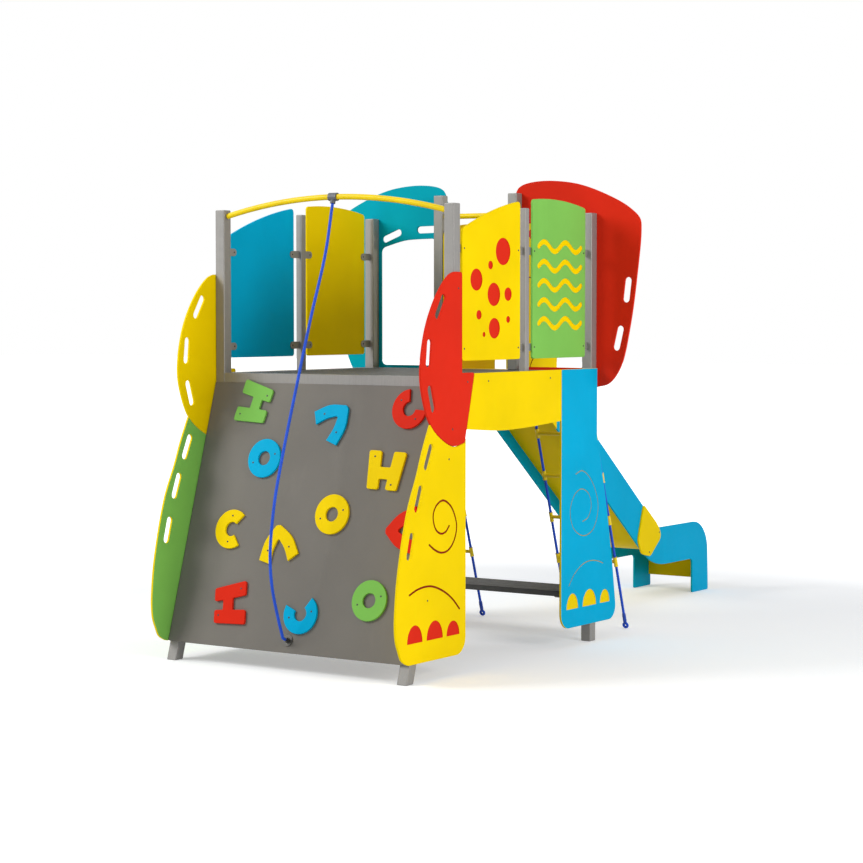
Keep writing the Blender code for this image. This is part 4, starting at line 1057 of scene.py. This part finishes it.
class STRUCTURE_OT_stage(bpy.types.Operator):
    """Puts up the camera, the soft lamps and the pale floor"""

    bl_idname = "structure.stage"
    bl_label = "Stage"

    # Name, place, size, watts and tint
    lamps = (
        ("key", (9.5, -2.5, 3.8), 4.0, 480.0, (1.0, 0.99, 0.975)),
        ("fill", (-6.5, -7.5, 7.0), 4.5, 760.0, (1.0, 0.995, 0.985)),
        ("top", (0.0, 0.5, 9.5), 5.0, 90.0, (1.0, 1.0, 1.0)),
    )
    aim = Vector((0, 0, 1.0))

    def execute(self, context):
        scene = context.scene
        scene.camera = self.camera()
        for name, place, size, watts, tint in self.lamps:
            light = bpy.data.lights.new(name, "AREA")
            light.energy = watts
            light.size = size
            light.color = tint
            lamp = linked(name, light)
            lamp.location = place
            lamp.rotation_euler = (self.aim - lamp.location).to_track_quat("-Z", "Y").to_euler()
        scene.world = self.world()
        self.floor()
        scene.view_settings.view_transform = "Standard"
        return {"FINISHED"}

    def camera(self):
        swing, dip = CAMERA_SWING, CAMERA_DIP
        back = Vector((math.sin(swing) * math.cos(dip), -math.cos(swing) * math.cos(dip), math.sin(dip)))
        right = Vector((math.cos(swing), math.sin(swing), 0))
        turn = Matrix((right, back.cross(right), back)).transposed().to_4x4()
        turn.translation = CAMERA_PLACE
        lens = bpy.data.cameras.new("view")
        lens.sensor_width = SENSOR
        lens.lens = FOCAL_LENGTH
        lens.clip_end = 200
        camera = linked("view", lens)
        camera.matrix_world = turn
        return camera

    def world(self):
        """Soft bluish light all round, which the camera sees as plain white."""
        world = bpy.data.worlds.new("soft_room")
        world.use_nodes = True
        room = Nodes(world.node_tree)
        room.net.nodes.clear()
        lit, seen = (
            room.node("ShaderNodeBackground", {"Color": colour, "Strength": strength}).outputs[0]
            for colour, strength in (((0.93, 0.96, 1.0, 1), 0.38), (WHITE, 1.0))
        )
        mix = room.node("ShaderNodeMixShader", {0: self.eye_rays(room), 1: lit, 2: seen})
        room.node("ShaderNodeOutputWorld", {"Surface": mix.outputs[0]})
        return world

    def eye_rays(self, nodes):
        """1 for rays from the camera and for what they see in gloss or through glass."""
        path = nodes.node("ShaderNodeLightPath").outputs
        seen = nodes.maths("MAXIMUM", path["Is Camera Ray"], path["Is Glossy Ray"])
        return nodes.maths("MAXIMUM", seen, path["Is Transmission Ray"])

    def floor(self):
        """A pale floor that keeps the soft shadow and runs out into the white behind it."""
        mesh = bpy.data.meshes.new("floor")
        half = 60.0
        corners = [(-half, -half, 0), (half, -half, 0), (half, half, 0), (-half, half, 0)]
        mesh.from_pydata(corners, [], [(0, 1, 2, 3)])
        paint = Paint("pale_floor", 0.9, specular=0.05)
        paint.give({"Base Color": (0.80, 0.81, 0.82, 1)})
        reach = paint.node("ShaderNodeVectorMath", {0: paint.place()}, operation="LENGTH")
        near, far = 2.9, 5.4
        faded = paint.span(reach.outputs["Value"], 0.33, 1.0, near, far)
        strength = paint.maths("MULTIPLY", self.eye_rays(paint), faded)
        glow = paint.node("ShaderNodeEmission", {"Color": WHITE, "Strength": strength})
        both = paint.node("ShaderNodeAddShader", {0: paint.shader.outputs[0], 1: glow.outputs[0]})
        paint.feed(paint.net.nodes["Material Output"], {"Surface": both.outputs[0]})
        mesh.materials.append(paint.material)
        linked("floor", mesh)


class STRUCTURE_OT_ropes(bpy.types.Operator):
    """Lays the climbing rope and the four ladder ropes, each ladder rope with its ferrule and eye"""

    bl_idname = "structure.ropes"
    bl_label = "Ropes"

    # How wide the ferrule is along its length, with a soft shoulder at each end
    ferrule_profile = (
        (0.0, 0.66), (0.05, 0.84), (0.16, 0.97), (0.30, 1.0), (0.46, 1.0), (0.5, 0.955), (0.54, 1.0),
        (0.70, 1.0), (0.84, 0.97), (0.95, 0.84), (1.0, 0.66),
    )

    def execute(self, context):
        tree = rope_tree()
        diameter = sizes().rope_diameter
        fibre = rope_fibre("rope_blue", chosen("rope_blue"))
        values = {"Diameter": diameter, "Lay length": sizes().rope_lay, "Rope": fibre}
        knots = [at(*p) for p in (
            (0.0, -0.0086, 2.3868), (0.0, -0.0124, 2.3712), (0.0, -0.0710, 2.1300),
            (0.0, -0.2000, 1.7930), (0.0, -0.3230, 1.4430), (0.0, -0.4400, 1.0990),
            (0.002, -0.5120, 0.8590), (0.004, -0.5500, 0.6020), (0.009, -0.5410, 0.4440),
            (0.014, -0.5020, 0.2900), (0.017, -0.4626, 0.1734), (0.017, -0.4472, 0.1688),
        )]
        route = even([knots[0], *smooth(knots[1:-1], steps=12), knots[-1]], step=0.02)
        rope = placed(laid(tree, "climbing_rope_laid", route, values), "climbing_rope")
        for name, sign in SIDES:
            for place, x in LADDER_X.items():
                self.ladder_rope(tree, f"ladder_rope_{name}_{place}", sign * x, values)
        return {"FINISHED"}

    def ladder_rope(self, tree, node, x, values):
        """One taut rope, its ferrule, and the eye that stands on the ground."""
        top, below, foot = at(x, 1.4696, 1.3977), at(x, 1.4696, 1.3817), at(x, 1.8875, 0.084)
        steps = 24
        taut = [below.lerp(foot, n / steps) for n in range(steps + 1)]
        route = even([top, *taut], step=0.03)
        along = (foot - below).normalized()
        rope = placed(laid(tree, node + "_laid", route, values), node)
        minor, major, clear = values["Diameter"] / 2, 0.0125, 0.001
        centre = foot + along * ((foot.z - major - minor - clear) / -along.z)
        ring = [centre + Vector((1, 0, 0)) * major * c + along * major * s for c, s in arc(40)[:-1]]
        half_round = {**values, "Lay length": math.tau * major / 2}
        eye = placed(laid(tree, node + "_eye", ring, half_round, cyclic=True))
        lap, wide = 0.012, 0.0108
        ferrule = self.ferrule(node + "_ferrule", foot - along * lap, centre - along * major, wide)

    def ferrule(self, name, start, end, radius):
        """A pressed sleeve round the rope's end."""
        turn = (end - start).to_track_quat("Z", "Y").to_matrix()
        shape = bmesh.new()
        rings = []
        for share, size in self.ferrule_profile:
            middle, wide = start.lerp(end, share), radius * size
            ring = [middle + turn @ Vector((c * wide, s * wide, 0)) for c, s in arc(24)[:-1]]
            rings.append([shape.verts.new(corner) for corner in ring])
        for low, high in zip(rings, rings[1:]):
            band(shape, high, low)
        shape.faces.new(rings[0][::-1])
        shape.faces.new(rings[-1])
        made = placed(solid(name, shape))
        made.data.materials.append(moulded_plastic("ferrule_blue", (0.04, 0.25, 0.68)))
        rounded_shading(made.data, degrees=40)
        return made


class STRUCTURE_OT_steelwork(bpy.types.Operator):
    """Gives the posts, the deck frame, the rails and the small fittings their metal"""

    bl_idname = "structure.steelwork"
    bl_label = "Steelwork"

    def execute(self, context):
        steel = coated_steel("post_steel", chosen("post_grey"))
        for name, _ in SIDES:
            for place in ("front", "mid", "rear"):
                recoated(f"post_{place}_{name}", "steel", steel)
        recoated("deck_frame", "steel", steel)
        yellow = powder_coat("rail_yellow", chosen("yellow"))
        self.bar(recoated("slide_portal", "steel", steel, yellow))
        self.rail(yellow)
        painted(frame["nodes"]["rope_clamp"].data, moulded_plastic("clamp_grey", (0.33, 0.34, 0.37)))
        painted(frame["nodes"]["rope_wall_eye"].data, bright_steel("eye_steel", (0.38, 0.375, 0.36)))
        return {"FINISHED"}

    def bar(self, portal):
        """Puts the portal's second paint on its round bar, between the posts."""
        half, height, radius, face = 0.2195, 2.372, 0.016, 0.02
        for polygon in portal.data.polygons:
            x, _, z = polygon.center
            if abs(x) < half and polygon.area < face and abs(z - height) < radius:
                polygon.material_index = 1

    def rail(self, paint):
        """The arched rail, drawn finer than its node."""
        half, rise, low, radius, steps = 0.7012, 0.084, 2.337, 0.015, 40
        bend = (half ** 2 + rise ** 2) / (2 * rise)
        reach = math.asin(half / bend)
        turns = [reach * (n / steps - 1) for n in range(2 * steps + 1)]
        points = [at(bend * math.sin(t), 0.0, low + rise - bend * (1 - math.cos(t))) for t in turns]
        curve = poly_curve("arch_rail_tube", points)
        curve.bevel_depth = radius
        curve.bevel_resolution = 6
        curve.use_fill_caps = True
        made = baked(linked("arch_rail_tube", curve), "arch_rail_tube")
        with edited(made.data) as shape:
            weld(shape, WELD / 2)
            bmesh.ops.recalc_face_normals(shape, faces=shape.faces)
        made.data.materials.append(paint)
        rounded_shading(made.data, degrees=40)
        placed(made, "arch_rail")


class STRUCTURE_OT_decking(bpy.types.Operator):
    """Gives the deck plate and the seat board their film-faced plywood"""

    bl_idname = "structure.decking"
    bl_label = "Decking"

    def execute(self, context):
        film = film_plywood("film_plywood", chosen("deck_grey"))
        for node in ("deck_plate", "seat_board"):
            recoated(node, "panel", film)
        return {"FINISHED"}


class STRUCTURE_OT_climbing_wall(bpy.types.Operator):
    """Finishes the climbing wall and its twelve grips"""

    bl_idname = "structure.climbing_wall"
    bl_label = "Climbing wall"
    # How far the rounded top edge laps over the beam, so that no light shows between them
    lap, top_zone = 0.0025, 0.001

    def execute(self, context):
        wall = linked("climbing_wall_board", joined_copy("climbing_wall"))
        crest = max(v.co.dot(WALL_UP) for v in wall.data.vertices)
        for vertex in wall.data.vertices:
            if vertex.co.dot(WALL_UP) > crest - self.top_zone:
                vertex.co += WALL_UP * self.lap
        modifier = wall.modifiers.new("edges", "BEVEL")
        modifier.width = sizes().board_edge
        modifier.segments = 2
        modifier.limit_method = "ANGLE"
        wall = baked(wall, "climbing_wall_board")
        painted(wall.data, sheet_plastic("wall_sheet", chosen("wall_grey")))
        placed(evenly_shaded(wall), "climbing_wall")
        for node in sorted(frame["nodes"]):
            if node.startswith("grip_"):
                board(node, WALL_OUT, node.rsplit("_", 1)[1], edge=0.0022)
        return {"FINISHED"}


class STRUCTURE_OT_slide(bpy.types.Operator):
    """Finishes the slide's bed, sides and splices, and the two head panels with their eyes"""

    bl_idname = "structure.slide"
    bl_label = "Slide and head"

    def execute(self, context):
        board("slide_bed", Vector((1, 0, 0)), "yellow", edge=0.001)
        for name, sign in SIDES:
            out = Vector((sign, 0, 0))
            eye = lines_and_pockets(eye_drawing(sizes().routing_line), "red")
            board(f"slide_side_{name}", out, "blue", "teal")
            board(f"slide_splice_{name}", out, "yellow", "yellow")
            board(f"head_panel_{name}", out, "yellow", "yellow", eye)
        return {"FINISHED"}


class STRUCTURE_OT_ears(bpy.types.Operator):
    """Finishes the two big ears with their doorways and finger slots"""

    bl_idname = "structure.ears"
    bl_label = "Ears"

    def execute(self, context):
        for name, colour in (("right", "red"), ("left", "teal")):
            board(f"ear_{name}", Vector((0, -1, 0)), colour, colour)
        return {"FINISHED"}


class STRUCTURE_OT_side_boards(bpy.types.Operator):
    """Finishes the hip boards, legs and belly panels, with the drawings cut in the legs"""

    bl_idname = "structure.side_boards"
    bl_label = "Hips, legs and belly"

    front_line, rear_line = 1.4, 0.6  # how wide the legs' lines are beside the setting
    # The hip; the front leg, its rim and its drawing; the rear leg, its rim and its drawing
    looks = {
        "right": ("red", ("yellow", "yellow", "red"), ("blue", "yellow", "yellow")),
        "left": ("yellow", ("green", "yellow", "yellow"), ("red", "red", "yellow")),
    }

    def execute(self, context):
        line = sizes().routing_line
        deck_top = max(v.co.z for v in frame["nodes"]["deck_plate"].data.vertices)
        for name, sign in SIDES:
            out = Vector((sign, 0, 0))
            hip, (front, front_rim, front_cut), (rear, rear_rim, rear_cut) = self.looks[name]
            # The far side's boards would show as a thin line along the deck's edge
            top = deck_top if sign < 0 else None
            front_cuts = lines_and_pockets(front_leg_drawing(self.front_line * line), front_cut)
            rear_cuts = lines_and_pockets(rear_leg_drawing(self.rear_line * line), rear_cut)
            board(f"hip_board_{name}", out, hip, hip)
            board(f"belly_panel_{name}", out, "yellow", "yellow", top=top)
            board(f"leg_front_{name}", out, front, front_rim, front_cuts)
            board(f"leg_rear_{name}", out, rear, rear_rim, rear_cuts, top=top)
        return {"FINISHED"}


class STRUCTURE_OT_barriers(bpy.types.Operator):
    """Finishes the four barrier boards, with their spots and waves"""

    bl_idname = "structure.barriers"
    bl_label = "Barriers"

    deeper = 1.3  # than the routing in the legs
    # The front board and its spots, the rear board and its waves
    looks = {"right": ("yellow", "red", "green", "yellow"), "left": ("blue", "yellow", "yellow", "red")}

    def execute(self, context):
        depth = self.deeper * sizes().routing_depth
        for name, sign in SIDES:
            front, spots, rear, waves = self.looks[name]
            out = Vector((sign, 0, 0))
            board(f"barrier_front_{name}", out, front, front, [(spots_drawing(), routed(spots))], depth)
            board(f"barrier_rear_{name}", out, rear, rear, [(waves_drawing(), routed(waves))], depth)
        return {"FINISHED"}


class STRUCTURE_OT_rungs(bpy.types.Operator):
    """Makes the eight ladder rungs with their sleeves"""

    bl_idname = "structure.rungs"
    bl_label = "Rungs"

    count, lowest, pitch = 4, 0.40, 0.245
    slope = 0.322  # how far the ladder goes back for each metre down
    ladder_top = (1.4483, 1.448)

    def execute(self, context):
        tree = rung_tree()
        values = {
            "Rung radius": sizes().rung_radius, "Rope heading": Vector((0, self.slope, -1)).normalized(),
            "Plastic": moulded_plastic("rung_yellow", chosen("yellow")),
        }
        for name, sign in SIDES:
            for n in range(self.count):
                node = f"rung_{name}_{n + 1}"
                z = self.lowest + self.pitch * n
                y = self.ladder_top[0] + self.slope * (self.ladder_top[1] - z)
                ends = [at(sign * x, y, z) for x in LADDER_X.values()]
                made = grown_by(tree, node + "_moulded", points_mesh(node, ends, edges=[(0, 1)]), values)
                rounded_shading(made.data, degrees=35)
                placed(made, node)
        return {"FINISHED"}


class STRUCTURE_OT_fixings(bpy.types.Operator):
    """Sets the domed bolts in the boards, the grips and the tabs"""

    bl_idname = "structure.fixings"
    bl_label = "Fixings"

    # Group, which way its bolts look, how far out they stand, and each one's Y and Z
    barrier_bolts = [(y, z) for y in (0.091, 0.609, 0.771, 1.289) for z in (1.64, 2.147)]
    rows = (
        ("barriers", 1, 0.7498, barrier_bolts),
        ("barriers", -1, 0.7325, barrier_bolts),
        ("side_boards", 1, 0.7773, (
            (-0.005, 1.944), (0.080, 1.474), (-0.059, 1.240), (-0.091, 1.092), (-0.283, 0.403),
            (0.276, 1.473), (0.891, 1.474),
        )),
        ("slide", 1, 0.2320, ((3.154, 0.434), (3.024, 0.319))),
        ("head", -1, 0.2077, ((1.38, 1.60), (1.38, 2.20))),
    )
    ear_bolts = [(x, 1.4223, z) for x in (0.735, 0.25) for z in (1.60, 2.20)]

    # Two bolts on each kind of grip, and each grip's kind, place across and down, and turn
    pairs = {
        "ring": ((0.0677, 0.0242), (-0.0661, -0.0274)),
        "shoe": [(0.07 * c, 0.07 * s) for c, s in arc(1, math.radians(95), math.radians(-190))],
        "chevron": ((0.067, -0.129), (-0.067, -0.129)),
        "double": ((-0.074, 0.066), (0.054, -0.074)),
    }
    grips = (
        ("double", -0.469, 0.111, 80), ("chevron", 0.147, 0.116, -45.5), ("shoe", 0.530, 0.118, 47),
        ("ring", -0.335, 0.406, 0), ("double", 0.443, 0.439, -1.5), ("ring", 0.162, 0.681, 0),
        ("shoe", -0.467, 0.792, -2), ("chevron", 0.507, 0.748, 94), ("chevron", -0.164, 0.753, 12),
        ("double", -0.385, 1.185, -81), ("shoe", 0.072, 1.202, 107), ("ring", 0.481, 1.105, 0),
    )
    grip_face, head_height = 0.0133, 0.0028

    def execute(self, context):
        tree = fixing_tree()
        values = {
            "Head radius": sizes().fixing_radius, "Head height": self.head_height,
            "Head": moulded_plastic("bolt_cap", (0.24, 0.21, 0.19)),
            # The socket's dark paint is painted shade for the recess of a real socket
            "Socket": moulded_plastic("socket_dark", (0.13, 0.12, 0.12)),
        }
        for name, places in self.places().items():
            points, ways = zip(*places)
            placed(grown_by(tree, name, points_mesh(name, points, ways), values))
        return {"FINISHED"}

    def places(self):
        """Where each group's bolts stand, and the way that they look."""
        groups = {"bolts_grips": self.grip_bolts()}
        for name, sign in SIDES:
            for group, way, x, spots in self.rows:
                out = Vector((sign * way, 0, 0))
                row = groups.setdefault(f"bolts_{group}_{name}", [])
                row += [(at(sign * x, y, z), out) for y, z in spots]
            back = Vector((0, 1, 0))
            groups[f"bolts_ear_{name}"] = [(at(sign * x, y, z), back) for x, y, z in self.ear_bolts]
        return groups

    def grip_bolts(self):
        """Two bolts on each grip, out on its front face."""
        found = []
        for kind, across, down, turn in self.grips:
            c, s = math.cos(math.radians(turn)), math.sin(math.radians(turn))
            for x, y in self.pairs[kind]:
                spot = on_wall(across + x * c - y * s, down - (x * s + y * c), self.grip_face)
                found.append((spot, WALL_OUT))
        return found


class STRUCTURE_PT_panel(bpy.types.Panel):
    """Lists the steps and the settings of the structure"""

    bl_idname = "STRUCTURE_PT_panel"
    bl_label = "Play Structure"
    bl_space_type = "VIEW_3D"
    bl_region_type = "UI"
    bl_category = "Play Structure"

    def draw(self, context):
        for group in (context.scene.structure_sizes, context.scene.structure_colours):
            box = self.layout.box()
            for name in group.__annotations__:
                box.prop(group, name)
        column = self.layout.column(align=True)
        for operator in STEPS:
            column.operator(operator.bl_idname)


STEPS = (
    STRUCTURE_OT_stage, STRUCTURE_OT_ropes, STRUCTURE_OT_steelwork, STRUCTURE_OT_decking,
    STRUCTURE_OT_climbing_wall, STRUCTURE_OT_slide, STRUCTURE_OT_ears, STRUCTURE_OT_side_boards,
    STRUCTURE_OT_barriers, STRUCTURE_OT_rungs, STRUCTURE_OT_fixings,
)
CLASSES = (StructureSizes, StructureColours, *STEPS, STRUCTURE_PT_panel)


def register():
    for kind in CLASSES:
        bpy.utils.register_class(kind)
    bpy.types.Scene.structure_sizes = bpy.props.PointerProperty(type=StructureSizes)
    bpy.types.Scene.structure_colours = bpy.props.PointerProperty(type=StructureColours)


def unregister():
    del bpy.types.Scene.structure_colours
    del bpy.types.Scene.structure_sizes
    for kind in reversed(CLASSES):
        bpy.utils.unregister_class(kind)


def main():
    register()
    for step in STEPS:
        group, name = step.bl_idname.split(".")
        getattr(getattr(bpy.ops, group), name)()


if __name__ == "__main__":
    main()
